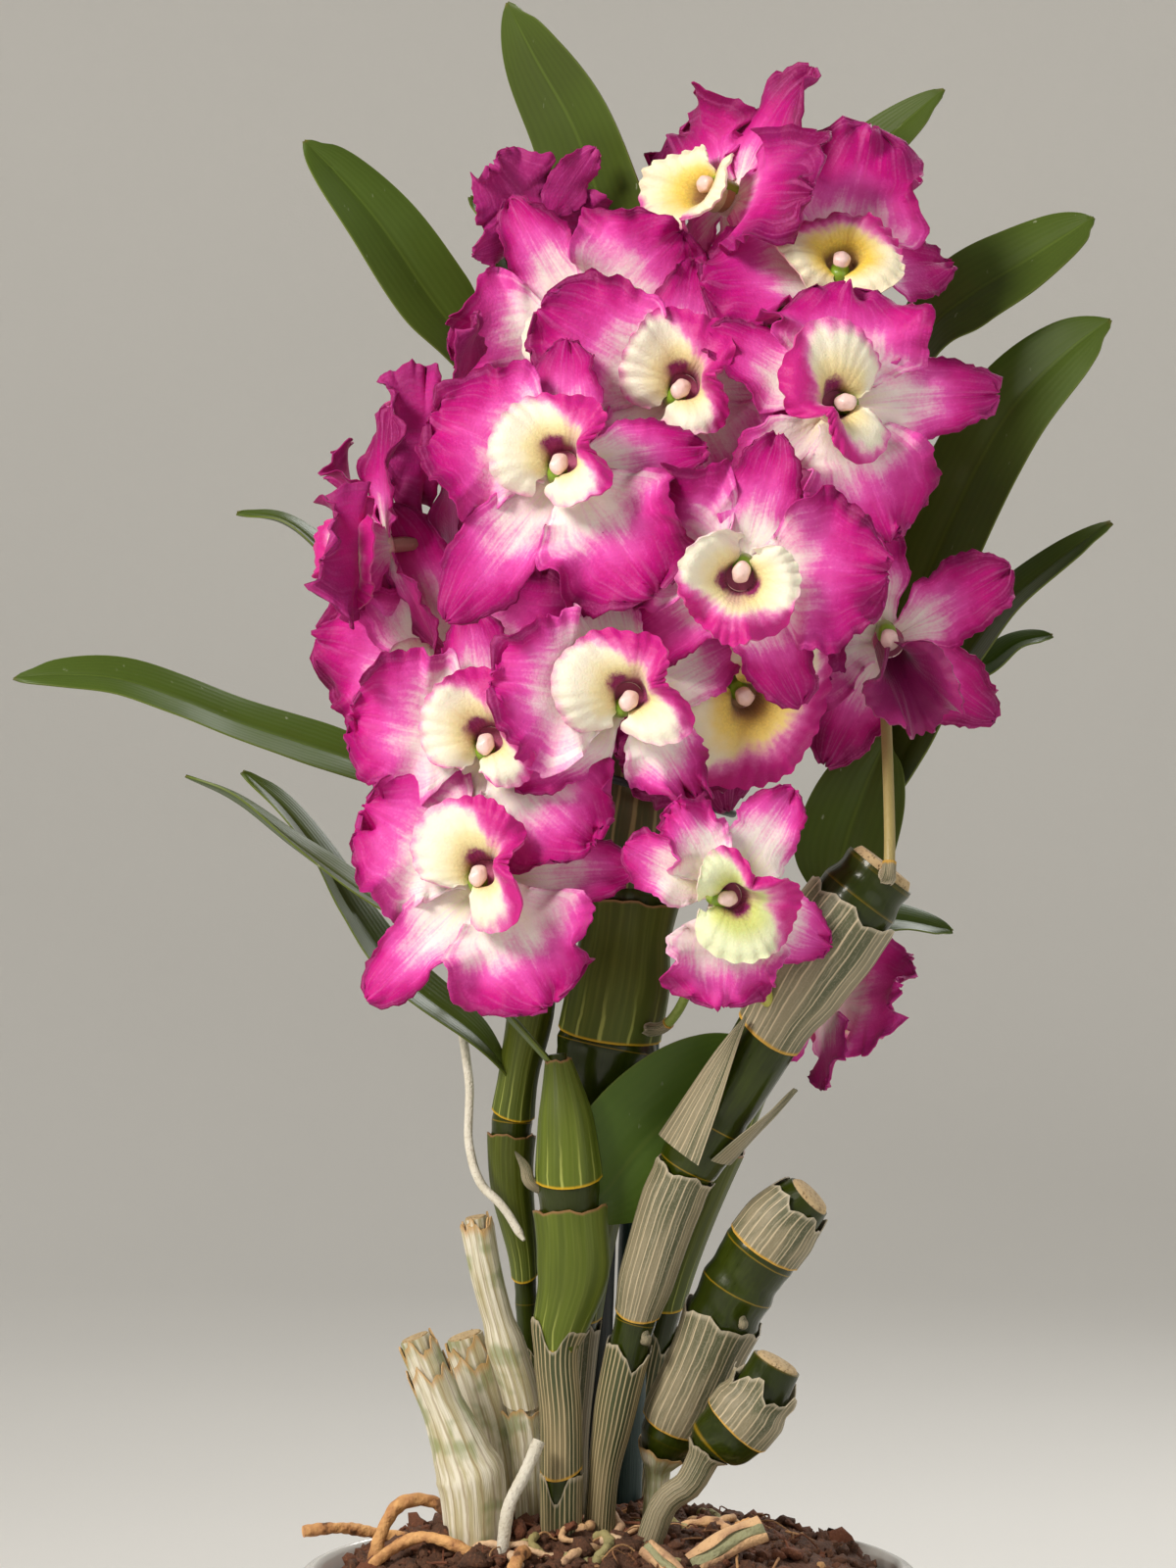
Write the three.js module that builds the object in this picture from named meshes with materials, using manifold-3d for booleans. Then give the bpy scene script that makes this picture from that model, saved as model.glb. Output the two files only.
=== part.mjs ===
// Flowering dendrobium orchid in a round glazed pot. Millimetres, +Z up.
// The origin is the middle of the pot's flat underside; the showy side faces -Y.
// The pot, the potting mix, the stakes and the support ring are turned or drawn along lines.
// Canes are bent lathes, leaves, sepals, petals and lips are thin closed sheets.

import * as THREE from "three";
import { mergeVertices } from "three/addons/utils/BufferGeometryUtils.js";
import Module from "manifold-3d";

const wasm = await Module();
wasm.setup();

// ---- Driving dimensions --------------------------------------------------------------------------

const POT_HEIGHT = 140;
const POT_RIM_RADIUS = 80.5;
const POT_MOUTH_RADIUS = 73.5;
const POT_FOOT_RADIUS = 52;
const POT_FLOOR = 8;
const POT_SIDES = 30;
const DRAIN_HOLES = 3;
const DRAIN_RADIUS = 4.5;
const DRAIN_CIRCLE = 30;

const SEAT_GAP = 0.35; // play between a stem and its hole, and at every place where two pieces meet
const MIX_CROWN = 13; // how far the mound rises above its edge
const MIX_EDGE = 138.5;
const MIX_SIDES = 20;

const STAKE_RADIUS = 4.3;
const STAKE_SIDES = 8;
const HOOP_RADIUS = 24;
const HOOP_WIRE = 1.1;
const HOOP_SIDES = 18;
const HOOP_TILT = 0.28; // radians, right side low

const LEAF_THICKNESS = 0.9;
const PETAL_THICKNESS = 0.7;
const BLOOM_HUB = 4.2;
const PEDICEL_RADIUS = 1.5;

const FRONT = new THREE.Vector3(0, -1, 0);
const degrees = (d) => (d * Math.PI) / 180;
const vector = (p) => new THREE.Vector3(...p);

// ---- Solids and sheets ---------------------------------------------------------------------------

// One closed geometry as a solid whose faces point out.
function solidOf(geometry) {
  const bare = geometry.index ? geometry.toNonIndexed() : geometry.clone();
  bare.deleteAttribute("normal");
  bare.deleteAttribute("uv");
  const merged = mergeVertices(bare, 1e-4);
  const corners = new Uint32Array(merged.index.array);
  const build = () =>
    new wasm.Manifold(
      new wasm.Mesh({
        numProp: 3,
        vertProperties: merged.attributes.position.array,
        triVerts: corners,
      }),
    );
  const solid = build();
  if (solid.volume() > 0) return solid;
  for (let i = 0; i < corners.length; i += 3) {
    [corners[i + 1], corners[i + 2]] = [corners[i + 2], corners[i + 1]];
  }
  return build();
}

// The largest body of a solid, so that no crumb that a cut leaves stays behind.
function largest(solid) {
  const bodies = solid.decompose();
  return bodies.reduce((a, b) => (b.volume() > a.volume() ? b : a));
}

const fuse = (solids) => largest(wasm.Manifold.union(solids));

function geometryOf(solid) {
  const mesh = solid.getMesh();
  const positions = new Float32Array(mesh.numVert * 3);
  for (let i = 0; i < mesh.numVert; i += 1) {
    const start = i * mesh.numProp;
    positions.set(mesh.vertProperties.subarray(start, start + 3), i * 3);
  }
  const geometry = new THREE.BufferGeometry();
  geometry.setAttribute("position", new THREE.BufferAttribute(positions, 3));
  geometry.setIndex(new THREE.BufferAttribute(mesh.triVerts, 1));
  return geometry;
}

// A closed blade of even thickness round the surface point(u, v), with u from 0 to 1 along it
// and v from -1 to 1 across it. Both faces are split alike.
function blade(point, along, across, thickness) {
  const step = 1e-3;
  const positions = [];
  const faces = [];
  const row = across + 1;
  for (const side of [0.5, -0.5]) {
    for (let i = 0; i <= along; i += 1) {
      for (let j = 0; j <= across; j += 1) {
        const u = i / along;
        const v = (2 * j) / across - 1;
        const p = point(u, v);
        const du = point(Math.min(u + step, 1), v).sub(point(Math.max(u - step, 0), v));
        const dv = point(u, Math.min(v + step, 1)).sub(point(u, Math.max(v - step, -1)));
        const normal = du.cross(dv).normalize();
        p.addScaledVector(normal, side * thickness);
        positions.push(p.x, p.y, p.z);
      }
    }
  }
  const under = (along + 1) * row;
  const quad = (a, b, c, d) => faces.push(a, b, c, a, c, d);
  for (let i = 0; i < along; i += 1) {
    for (let j = 0; j < across; j += 1) {
      const a = i * row + j;
      const b = a + row;
      faces.push(a, b, b + 1, a, b + 1, a + 1);
      faces.push(under + a, under + b + 1, under + b);
      faces.push(under + a, under + a + 1, under + b + 1);
    }
    const start = i * row;
    const end = start + across;
    quad(under + start, under + start + row, start + row, start);
    quad(end, end + row, under + end + row, under + end);
  }
  for (let j = 0; j < across; j += 1) {
    const tip = along * row + j;
    quad(under + j, j, j + 1, under + j + 1);
    quad(tip, under + tip, under + tip + 1, tip + 1);
  }
  const geometry = new THREE.BufferGeometry();
  geometry.setAttribute("position", new THREE.Float32BufferAttribute(positions, 3));
  geometry.setIndex(faces);
  return geometry;
}

const lineThrough = (points) =>
  new THREE.CatmullRomCurve3(points.map(vector), false, "catmullrom", 0.5);

// Directions across a line at t: to the right of it and towards the front.
function acrossLine(curve, t) {
  const tangent = curve.getTangent(t);
  const right = tangent.clone().cross(FRONT).normalize();
  const front = right.clone().cross(tangent).normalize();
  return { right, front };
}

// A lathe bent along a curve. profile lists [place along the curve from 0 to 1, radius].
function bentLathe(curve, profile, sides) {
  const outline = [new THREE.Vector2(0, profile[0][0])];
  for (const [t, radius] of profile) outline.push(new THREE.Vector2(radius, t));
  outline.push(new THREE.Vector2(0, profile.at(-1)[0]));
  const geometry = new THREE.LatheGeometry(outline, sides);
  const place = geometry.getAttribute("position");
  for (let i = 0; i < place.count; i += 1) {
    const t = place.getY(i);
    const { right, front } = acrossLine(curve, t);
    const p = curve.getPoint(t);
    p.addScaledVector(right, place.getX(i)).addScaledVector(front, place.getZ(i));
    place.setXYZ(i, p.x, p.y, p.z);
  }
  return geometry;
}

function roundSection(radius, sides) {
  const shape = new THREE.Shape();
  for (let i = 0; i < sides; i += 1) {
    const angle = (2 * Math.PI * i) / sides;
    const corner = [radius * Math.cos(angle), radius * Math.sin(angle)];
    if (i === 0) shape.moveTo(...corner);
    else shape.lineTo(...corner);
  }
  shape.closePath();
  return shape;
}

function tube(curve, radius, sides, steps) {
  const path = { steps, extrudePath: curve, bevelEnabled: false };
  return new THREE.ExtrudeGeometry(roundSection(radius, sides), path);
}

// ---- Pot -----------------------------------------------------------------------------------------

function potSolid() {
  const rim = POT_RIM_RADIUS;
  const top = POT_HEIGHT;
  const mouth = POT_MOUTH_RADIUS;
  const outline = [
    [0, 0],
    [POT_FOOT_RADIUS, 0],
    [POT_FOOT_RADIUS + 12, 20],
    [rim - 8.5, 64],
    [rim - 3.5, top - 19],
    [rim - 0.8, top - 16],
    [rim, top - 5],
    [rim - 3.6, top],
    [mouth, top - 4],
    [mouth - 3, 98],
    [POT_FOOT_RADIUS + 6, 24],
    [POT_FOOT_RADIUS - 4, POT_FLOOR],
    [0, POT_FLOOR],
  ];
  const points = outline.map(([r, z]) => new THREE.Vector2(r, z));
  const turned = new THREE.LatheGeometry(points, POT_SIDES).rotateX(Math.PI / 2);
  const holes = [];
  for (let i = 0; i < DRAIN_HOLES; i += 1) {
    const angle = (2 * Math.PI * i) / DRAIN_HOLES;
    const drill = new THREE.CylinderGeometry(DRAIN_RADIUS, DRAIN_RADIUS, 4 * POT_FLOOR, 8);
    drill.rotateX(Math.PI / 2);
    drill.translate(DRAIN_CIRCLE * Math.cos(angle), DRAIN_CIRCLE * Math.sin(angle), 0);
    holes.push(solidOf(drill));
  }
  return largest(solidOf(turned).subtract(wasm.Manifold.union(holes)));
}

// Height of the mound: a low crown with gentle heaps.
function mixHeight(x, y) {
  const share = Math.min(1, Math.hypot(x, y) / POT_MOUTH_RADIUS);
  const crown = MIX_CROWN * (1 - share ** 2.4);
  const heaps = Math.sin(0.21 * x + 1.3) * Math.cos(0.17 * y - 0.4) + 0.7 * Math.sin(0.4 * x - 0.33 * y);
  return MIX_EDGE + crown + 1.1 * heaps * (1 - share ** 4);
}

function mixSolid() {
  const inner = POT_MOUTH_RADIUS - SEAT_GAP;
  const outline = [
    [0, POT_FLOOR + SEAT_GAP],
    [POT_FOOT_RADIUS - 5, POT_FLOOR + SEAT_GAP],
    [POT_FOOT_RADIUS + 5, 24],
    [inner - 4, 98],
    [inner - 0.8, MIX_EDGE - 2],
    [inner - 4, MIX_EDGE],
  ];
  const rings = [0.76, 0.52, 0.27];
  const points = outline.map(([r, z]) => new THREE.Vector2(r, z));
  for (const ring of rings) points.push(new THREE.Vector2(inner * ring, MIX_EDGE));
  points.push(new THREE.Vector2(0, MIX_EDGE));
  const turned = new THREE.LatheGeometry(points, MIX_SIDES).rotateX(Math.PI / 2);
  const place = turned.getAttribute("position");
  for (let i = 0; i < place.count; i += 1) {
    const [x, y, z] = [place.getX(i), place.getY(i), place.getZ(i)];
    if (z > MIX_EDGE - 0.1) place.setZ(i, mixHeight(x, y));
  }
  return solidOf(turned);
}

// ---- Canes ---------------------------------------------------------------------------------------

// Each cane: its line from inside the mix upwards, and its [place, radius] profile. Swollen
// internodes narrow to a ring at each node; sheaths show as steps.
const CANES = {
  cane_main: {
    line: [
      [-11, 14, 112], [-11, 13, 163], [-10, 11, 189], [-8, 10, 216], [-5, 8, 242], [-2, 8, 264],
      [3, 8, 290], [6, 8, 314], [9, 9, 340], [11, 12, 365], [13, 15, 401], [15, 18, 436], [15, 20, 462],
    ],
    profile: [
      [0, 5], [0.1, 5.2], [0.2, 6.4], [0.3, 9], [0.4, 10.6], [0.43, 12.6], [0.51, 12.2], [0.53, 10],
      [0.62, 11.6], [0.68, 9.8], [0.77, 8], [0.88, 6.4], [1, 3.4],
    ],
  },
  cane_front: {
    line: [
      [-12, -14, 118], [-12, -14, 150], [-12, -14, 179], [-13, -14, 199], [-9, -14, 217],
      [-10, -14, 236], [-11, -14, 256], [-13, -14, 272],
    ],
    profile: [
      [0, 4.6], [0.22, 4.8], [0.42, 4.8], [0.46, 6.2], [0.58, 8.4], [0.68, 7.4], [0.76, 7.8], [0.86, 6.2],
      [1, 2],
    ],
  },
  cane_left: {
    line: [
      [-20, 26, 112], [-20, 24, 174], [-21, 22, 199], [-22, 20, 217], [-25, 18, 236], [-25, 18, 251],
      [-23, 17, 266], [-20, 17, 282], [-20, 18, 299], [-25, 20, 325], [-27, 22, 350], [-27, 24, 378],
      [-27, 26, 412], [-25, 26, 442], [-24, 26, 465],
    ],
    profile: [
      [0, 3.4], [0.12, 2.6], [0.21, 3], [0.28, 4.8], [0.36, 5.2], [0.42, 4.4], [0.5, 5.4], [0.6, 4.6],
      [0.7, 4.8], [0.85, 4.4], [1, 2.4],
    ],
  },
  cane_right_cut: {
    line: [
      [-4, -7, 116], [-2, -10, 159], [1, -12, 179], [5, -14, 198], [10, -16, 217], [17, -18, 238],
      [25, -20, 253], [36, -22, 271], [48, -24, 291], [59, -25, 307], [69, -26, 320],
    ],
    profile: [
      [0, 3.4], [0.12, 3.4], [0.22, 4.8], [0.35, 5], [0.38, 6.4], [0.5, 7], [0.52, 6], [0.56, 8.6],
      [0.62, 7.8], [0.76, 8.6], [0.78, 10.8], [0.86, 12], [0.92, 10.6], [1, 9],
    ],
  },
  cane_cut_middle: {
    line: [
      [9, 3, 118], [12, -2, 158], [13, -4, 168], [17, -6, 178], [23, -9, 191], [30, -12, 208],
      [36, -14, 219], [44, -16, 230], [51, -18, 237],
    ],
    profile: [
      [0, 2.6], [0.22, 2.6], [0.3, 6.4], [0.4, 9], [0.56, 8.6], [0.6, 9.2], [0.74, 9.4], [0.86, 9.4],
      [1, 6],
    ],
  },
  cane_cut_small: {
    line: [
      [3, -22, 120], [12, -26, 157], [20, -28, 166], [25, -29, 175], [31, -30, 180], [37, -31, 188],
      [42, -32, 197],
    ],
    profile: [[0, 3], [0.16, 3], [0.46, 3.2], [0.52, 6.6], [0.62, 8.8], [0.78, 9], [0.82, 7.4], [1, 6]],
  },
  cane_back: {
    line: [
      [5, 47, 112], [6, 45, 150], [15, 42, 203], [30, 38, 247], [46, 34, 283], [59, 32, 307],
      [65, 32, 335], [69, 32, 366], [71, 32, 402], [71, 32, 437],
    ],
    profile: [
      [0, 3.4], [0.1, 3.2], [0.24, 5], [0.34, 6.4], [0.46, 5.4], [0.58, 6], [0.68, 5], [0.78, 5.4],
      [1, 2.6],
    ],
  },
  dry_stub_left: {
    line: [[-33, -14, 124], [-34, -16, 160], [-37, -17, 172], [-43, -18, 187], [-49, -19, 202]],
    profile: [[0, 6], [0.2, 7.4], [0.36, 8.2], [0.52, 6.6], [0.7, 4.6], [1, 4.4]],
  },
  dry_stub_middle: {
    line: [[-24, 8, 122], [-27, 6, 159], [-30, 4, 177], [-37, 2, 200]],
    profile: [[0, 4], [0.3, 5.4], [0.6, 5], [1, 5.4]],
  },
  dry_stub_tall: {
    line: [[-18, 1, 120], [-20, -1, 165], [-22, -2, 183], [-27, -3, 200], [-31, -4, 215], [-34, -5, 231]],
    profile: [[0, 3.6], [0.3, 4.2], [0.58, 4.5], [0.64, 3.4], [1, 3.3]],
  },
};
const CANE_SIDES = 8;
const STUB_SIDES = 7;
const SOCKET_SIDES = 6;
const SOCKET_ROOM = 1.16; // a six-sided hole clears a rounder stem
const SOCKET_TOP = 156;
const DROP = [0, 0, -SEAT_GAP];
const ROOM_AHEAD = 0.12; // how far a groove runs on, as a share of its last stretch

// Where a cane reaches height z, how thick it is there, and which way is out at an angle round it
// (0 towards the front, 90 to the right).
function placeOn(caneName, z, angle) {
  const { line, profile } = CANES[caneName];
  const curve = lineThrough(line);
  let [low, high] = [0, 1];
  for (let i = 0; i < 30; i += 1) {
    const middle = (low + high) / 2;
    if (curve.getPoint(middle).z < z) low = middle;
    else high = middle;
  }
  const next = Math.max(1, profile.findIndex(([t]) => t >= low));
  const [[t0, r0], [t1, r1]] = [profile[next - 1], profile[next]];
  const radius = THREE.MathUtils.mapLinear(low, t0, t1, r0, r1);
  const { right, front } = acrossLine(curve, low);
  const out = front.multiplyScalar(Math.cos(degrees(angle)));
  out.addScaledVector(right, Math.sin(degrees(angle)));
  const centre = curve.getPoint(low);
  return { centre, out, radius, seat: centre.clone().addScaledVector(out, radius + SEAT_GAP) };
}

// ---- Leaves --------------------------------------------------------------------------------------

// Each leaf: the cane that bears it, its line from the cane outwards, full width, the direction its
// upper face looks at the base and at the tip, and how far its two halves fold up.
const LEAVES = [
  { on: "cane_main", width: 26, base: [-0.5, -0.9, 0.1], tip: [-0.6, -0.7, 0.2], fold: 0.16,
    line: [[14, 20, 456], [5, 19, 472], [-2, 17, 491], [-9, 16, 510], [-19, 16, 528], [-26, 16, 542]] },
  { on: "cane_main", width: 22, base: [-0.5, -0.6, 0.7], tip: [-0.3, -0.8, 0.6], fold: 0.14,
    line: [[15, 19, 446], [34, 27, 475], [52, 31, 491], [64, 32, 501], [74, 32, 510], [88, 32, 522]] },
  { on: "cane_left", width: 23, base: [0.4, -0.8, 0.4], tip: [0.4, -0.9, 0.3], fold: 0.16,
    line: [[-26, 26, 434], [-38, 24, 455], [-48, 23, 469], [-59, 22, 485], [-70, 22, 498], [-79, 22, 507]] },
  { on: "cane_left", width: 11, base: [0.6, -0.6, 0.4], tip: [0.6, -0.6, 0.4], fold: 0.2,
    line: [[-24, 26, 460], [-26, 26, 474], [-31, 26, 486], [-36, 26, 493]] },
  { on: "cane_left", width: 17, base: [0.5, -0.25, 0.85], tip: [0.1, -0.3, 0.95], fold: 0.2,
    line: [
      [-27, 23, 356], [-46, 20, 364], [-57, 19, 377], [-65, 18, 389], [-74, 17, 400], [-84, 17, 408],
      [-96, 17, 410],
    ] },
  { on: "cane_left", width: 19, base: [0.3, -0.6, 0.75], tip: [0.1, -0.6, 0.8], fold: 0.16,
    line: [
      [-24, 20, 322], [-46, 18, 338], [-66, 16, 346], [-81, 15, 351], [-96, 14, 356], [-111, 12, 362],
      [-126, 11, 367], [-141, 10, 368], [-153, 10, 367],
    ] },
  { on: "cane_left", width: 18, base: [0.4, -0.5, 0.75], tip: [0.6, -0.3, 0.75], fold: 0.22,
    line: [
      [-24, 17, 262], [-34, 12, 275], [-54, 9, 291], [-66, 8, 307], [-74, 8, 321], [-84, 8, 334],
      [-94, 8, 343],
    ] },
  { on: "cane_front", width: 16, base: [0.5, -0.2, 0.85], tip: [0.5, -0.15, 0.85], fold: 0.22,
    line: [
      [-13, -14, 268], [-31, -12, 287], [-49, -11, 303], [-65, -11, 314], [-80, -11, 325], [-94, -10, 336],
      [-107, -9, 342],
    ] },
  { on: "cane_front", width: 34, base: [0.25, -0.95, 0], tip: [0.1, -1, 0], fold: 0.08,
    line: [[-7, -13, 230], [0, -9.5, 238], [8, -8, 248], [18, -7.5, 258], [29, -7, 267], [38, -6.5, 274]] },
  { on: "cane_back", width: 26, base: [-0.6, -0.7, 0.4], tip: [-0.4, -0.75, 0.5], fold: 0.16,
    line: [[71, 32, 430], [83, 31, 457], [95, 30, 468], [108, 30, 476], [119, 30, 483], [127, 30, 488]] },
  { on: "cane_back", width: 29, base: [-0.6, -0.8, 0.2], tip: [-0.5, -0.8, 0.3], fold: 0.14,
    line: [
      [69, 31, 362], [78, 29, 381], [86, 27, 401], [97, 26, 424], [107, 26, 440], [120, 26, 453],
      [131, 26, 461],
    ] },
  { on: "cane_back", width: 21, base: [-0.7, -0.5, 0.5], tip: [-0.5, -0.5, 0.7], fold: 0.18,
    line: [
      [64, 31, 328], [72, 28, 337], [78, 26, 349], [85, 25, 362], [94, 24, 374], [104, 24, 387],
      [117, 24, 398], [131, 24, 408],
    ] },
  { on: "cane_back", width: 14, base: [-0.3, -0.5, 0.8], tip: [-0.2, -0.5, 0.85], fold: 0.2,
    line: [[69, 34, 355], [85, 37, 366], [99, 38, 371], [108, 38, 377], [117, 38, 379]] },
  { on: "cane_back", width: 14, base: [-0.1, -0.6, 0.8], tip: [0, -0.6, 0.8], fold: 0.2,
    line: [[58, 33, 300], [68, 38, 304], [78, 41, 304], [91, 42, 301]] },
  { on: "cane_back", width: 26, base: [-0.1, -1, 0.1], tip: [0, -1, 0.1], fold: 0.12,
    line: [[59, 29, 306], [61, 22, 322], [66, 18, 338], [72, 18, 352]] },
];

// Strap leaf outline: a narrow clasping base, an even middle, a blunt rounded tip.
function leafShare(u) {
  const opening = THREE.MathUtils.smoothstep(u, -0.12, 0.36);
  const closing = Math.max(0, (u - 0.4) / 0.6) ** 2.8;
  return opening * Math.sqrt(Math.max(0, 1 - closing)) * 0.97 + 0.03;
}

function leafBlade(leaf) {
  const curve = lineThrough(leaf.line);
  const [base, tip] = [vector(leaf.base).normalize(), vector(leaf.tip).normalize()];
  const surface = (u, v) => {
    const along = curve.getTangent(u);
    const across = along.clone().cross(base.clone().lerp(tip, u)).normalize();
    const up = across.clone().cross(along).normalize();
    const half = (leaf.width / 2) * leafShare(u);
    return curve.getPoint(u).addScaledVector(across, v * half)
      .addScaledVector(up, leaf.fold * Math.abs(v) * half);
  };
  return solidOf(blade(surface, leaf.line.length > 5 ? 6 : 5, 2, LEAF_THICKNESS));
}

// Papery pointed flaps that stand off the cut cane at its nodes: [height, angle, length, lean].
const FLAPS = [
  { on: "cane_right_cut", z: 247, angle: -40, length: 38, width: 15, lean: 0.06 },
  { on: "cane_right_cut", z: 249, angle: 62, length: 26, width: 11, lean: 0.22 },
  { on: "cane_front", z: 231, angle: 8, length: 20, width: 10, lean: 0.1 },
];

function flapBlade(flap) {
  const { centre, out, radius } = placeOn(flap.on, flap.z, flap.angle);
  const above = placeOn(flap.on, flap.z + 8, flap.angle);
  const along = above.centre.clone().sub(centre).normalize();
  const across = along.clone().cross(out).normalize();
  const surface = (u, v) => {
    const half = (flap.width / 2) * (1 - u) ** 0.8 + 0.3;
    const round = -0.12 * (v * half) ** 2 / flap.width;
    return centre.clone().addScaledVector(along, flap.length * u)
      .addScaledVector(out, radius - 0.4 + (flap.lean + 0.03) * flap.length * u + 2 * round)
      .addScaledVector(across, v * half);
  };
  return solidOf(blade(surface, 3, 2, PETAL_THICKNESS));
}

function caneSolid(name) {
  const { line, profile } = CANES[name];
  const sides = name.startsWith("dry") ? STUB_SIDES : CANE_SIDES;
  return solidOf(bentLathe(lineThrough(line), profile, sides));
}

// The plain hole in the mix that a cane stands in: its buried part, even in width and a little wider.
function caneSocket(name) {
  const { line, profile } = CANES[name];
  const curve = lineThrough(line);
  const clear = profile.findIndex(([t]) => curve.getPoint(t).z > SOCKET_TOP);
  const buried = profile.slice(0, clear + 1);
  const radius = Math.max(...buried.map(([, r]) => r)) * SOCKET_ROOM + SEAT_GAP;
  const hole = buried.map(([t]) => [t, radius]);
  return solidOf(bentLathe(curve, hole, SOCKET_SIDES)).translate(DROP);
}

// The groove for a piece that lies on the mix with its ends in it: wider, and longer at both ends.
function lyingSocket(make, piece) {
  const line = piece.line.map((p) => [...p]);
  const beyond = (end, before) => end.map((value, axis) => value + ROOM_AHEAD * (value - before[axis]));
  line[0] = beyond(line[0], line[1]);
  line[line.length - 1] = beyond(line.at(-1), line.at(-2));
  return make({ ...piece, line }, SEAT_GAP);
}

function leafyCane(name) {
  const pieces = [caneSolid(name)];
  for (const leaf of LEAVES.filter((leaf) => leaf.on === name)) pieces.push(leafBlade(leaf));
  for (const flap of FLAPS.filter((flap) => flap.on === name)) pieces.push(flapBlade(flap));
  return fuse(pieces);
}

// ---- Roots and dry pieces on the mix --------------------------------------------------------------

const ROOTS = {
  aerial_root_long: {
    line: [
      [-26.8, 18.5, 299], [-33, 21, 293], [-38, 21, 286], [-38, 21, 277], [-36, 18, 262], [-36, 13, 248],
      [-33, 7, 238], [-27, 1, 232], [-21.5, -4, 224],
    ],
    radius: 1.15, steps: 14,
  },
  aerial_root_short: {
    line: [[-17.5, -24, 176], [-21, -26, 168], [-25, -29, 160], [-27, -30, 146]], radius: 1.6, steps: 6,
  },
  surface_root_rim: {
    line: [[-78, 2, 149], [-69, 5, 149.5], [-62, 8, 148], [-52, 10, 146], [-44, 12, 143]],
    radius: 1.5, steps: 8,
  },
  surface_root_arch: {
    line: [[-60, -6, 138], [-58, -6, 149], [-53, -5, 157], [-44, -2, 157], [-38, -4, 150], [-33, -4, 140]],
    radius: 1.7, steps: 9,
  },
  surface_root_low: {
    line: [[-64, -16, 138], [-56, -19, 147], [-47, -22, 151.5], [-38, -26, 150], [-29, -28, 144]],
    radius: 1.5, steps: 8,
  },
  surface_root_front: {
    line: [[-21, -30, 146], [-21, -38, 150.5], [-23, -46, 149], [-25, -52, 140]], radius: 1.6, steps: 7,
  },
};

const rootSolid = (root, grow = 0) =>
  solidOf(tube(lineThrough(root.line), root.radius + grow, 5, root.steps));

// Dry stub ends half sunk in the mix: each from one end to the other, with its radius.
const STUB_ENDS = {
  split_stub: { line: [[20, -38, 147], [29, -36, 152], [38, -34, 156]], radius: 3.6 },
  small_stub: { line: [[9, -44, 153], [15, -48, 148], [20, -53, 143]], radius: 2.4 },
};

const stubSolid = (stub, grow = 0) =>
  solidOf(tube(lineThrough(stub.line), stub.radius + grow, 7, 2));

// ---- Stakes and support ring -----------------------------------------------------------------------

const STAKES = {
  stake_dark: [[-6, 26, 116], [2, 26, 342]],
  stake_green: [[3, 31, 116], [12, 31, 346]],
};

function stakeSolid(ends, grow = 0) {
  const path = new THREE.LineCurve3(...ends.map(vector));
  return solidOf(tube(path, STAKE_RADIUS + grow, STAKE_SIDES, 1));
}

// The wire hoop round the upper canes, with a sleeve that slips over the green stake.
function hoopSolid() {
  const centre = vector([9, 15, 339]);
  const wire = [];
  for (let i = 0; i < 5; i += 1) {
    const angle = (2 * Math.PI * i) / 5;
    wire.push(new THREE.Vector2(HOOP_RADIUS + HOOP_WIRE * Math.cos(angle), HOOP_WIRE * Math.sin(angle)));
  }
  wire.push(wire[0].clone());
  const hoop = new THREE.LatheGeometry(wire, HOOP_SIDES).rotateX(Math.PI / 2);
  hoop.rotateY(HOOP_TILT).translate(...centre.toArray());
  const [foot, head] = STAKES.stake_green.map(vector);
  const along = head.clone().sub(foot).normalize();
  const seat = foot.clone().addScaledVector(along, (338 - foot.z) / along.z);
  const bore = (STAKE_RADIUS + SEAT_GAP) / Math.cos(Math.PI / STAKE_SIDES);
  const section = [[bore, -4], [bore + 1.2, -4], [bore + 1.2, 4], [bore, 4], [bore, -4]];
  const sleeve = new THREE.LatheGeometry(section.map(([r, z]) => new THREE.Vector2(r, z)), STAKE_SIDES);
  const turn = new THREE.Quaternion().setFromUnitVectors(new THREE.Vector3(0, 1, 0), along);
  sleeve.applyQuaternion(turn).translate(...seat.toArray());
  const behind = new THREE.LineCurve3(
    seat.clone().add(vector([0, bore + 0.8, 0])),
    vector([12, centre.y + HOOP_RADIUS - 0.2, 338]),
  );
  return fuse([solidOf(hoop), solidOf(sleeve), solidOf(tube(behind, 1.3, 6, 1))]);
}

// ---- Blooms --------------------------------------------------------------------------------------

// The flower's own frame: z looks out of the flower, x points along the lip, so the dorsal sepal
// points along -x. A segment's bearing is counted from the dorsal sepal, and rise and fall are the
// slopes, in degrees, at which it leaves the middle and ends.
const SEPAL = { width: 15, wave: 0, foot: 0.34, opens: 0.34, layer: -0.45 };
const PETAL = { width: 29, wave: 1.8, foot: 0.17, opens: 0.5, layer: 0.45 };
const SEGMENTS = {
  dorsal: { ...SEPAL, bearing: 0, length: 37, rise: 8, fall: -16 },
  petalA: { ...PETAL, bearing: 74, length: 33, rise: 20, fall: -14 },
  petalB: { ...PETAL, bearing: -74, length: 33, rise: 20, fall: -14 },
  lateralA: { ...SEPAL, bearing: 140, length: 33, rise: -8, fall: -24 },
  lateralB: { ...SEPAL, bearing: -140, length: 33, rise: -8, fall: -24 },
};
const LIP = { reach: 20, throat: 3.2, from: 14, to: 82, tilt: 26, open: 150, wave: 1.6 };
const LIP_FOLDS = 8;
const LIP_SET_BACK = 1; // the lip meets the column's foot on its own side and clears it elsewhere

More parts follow.
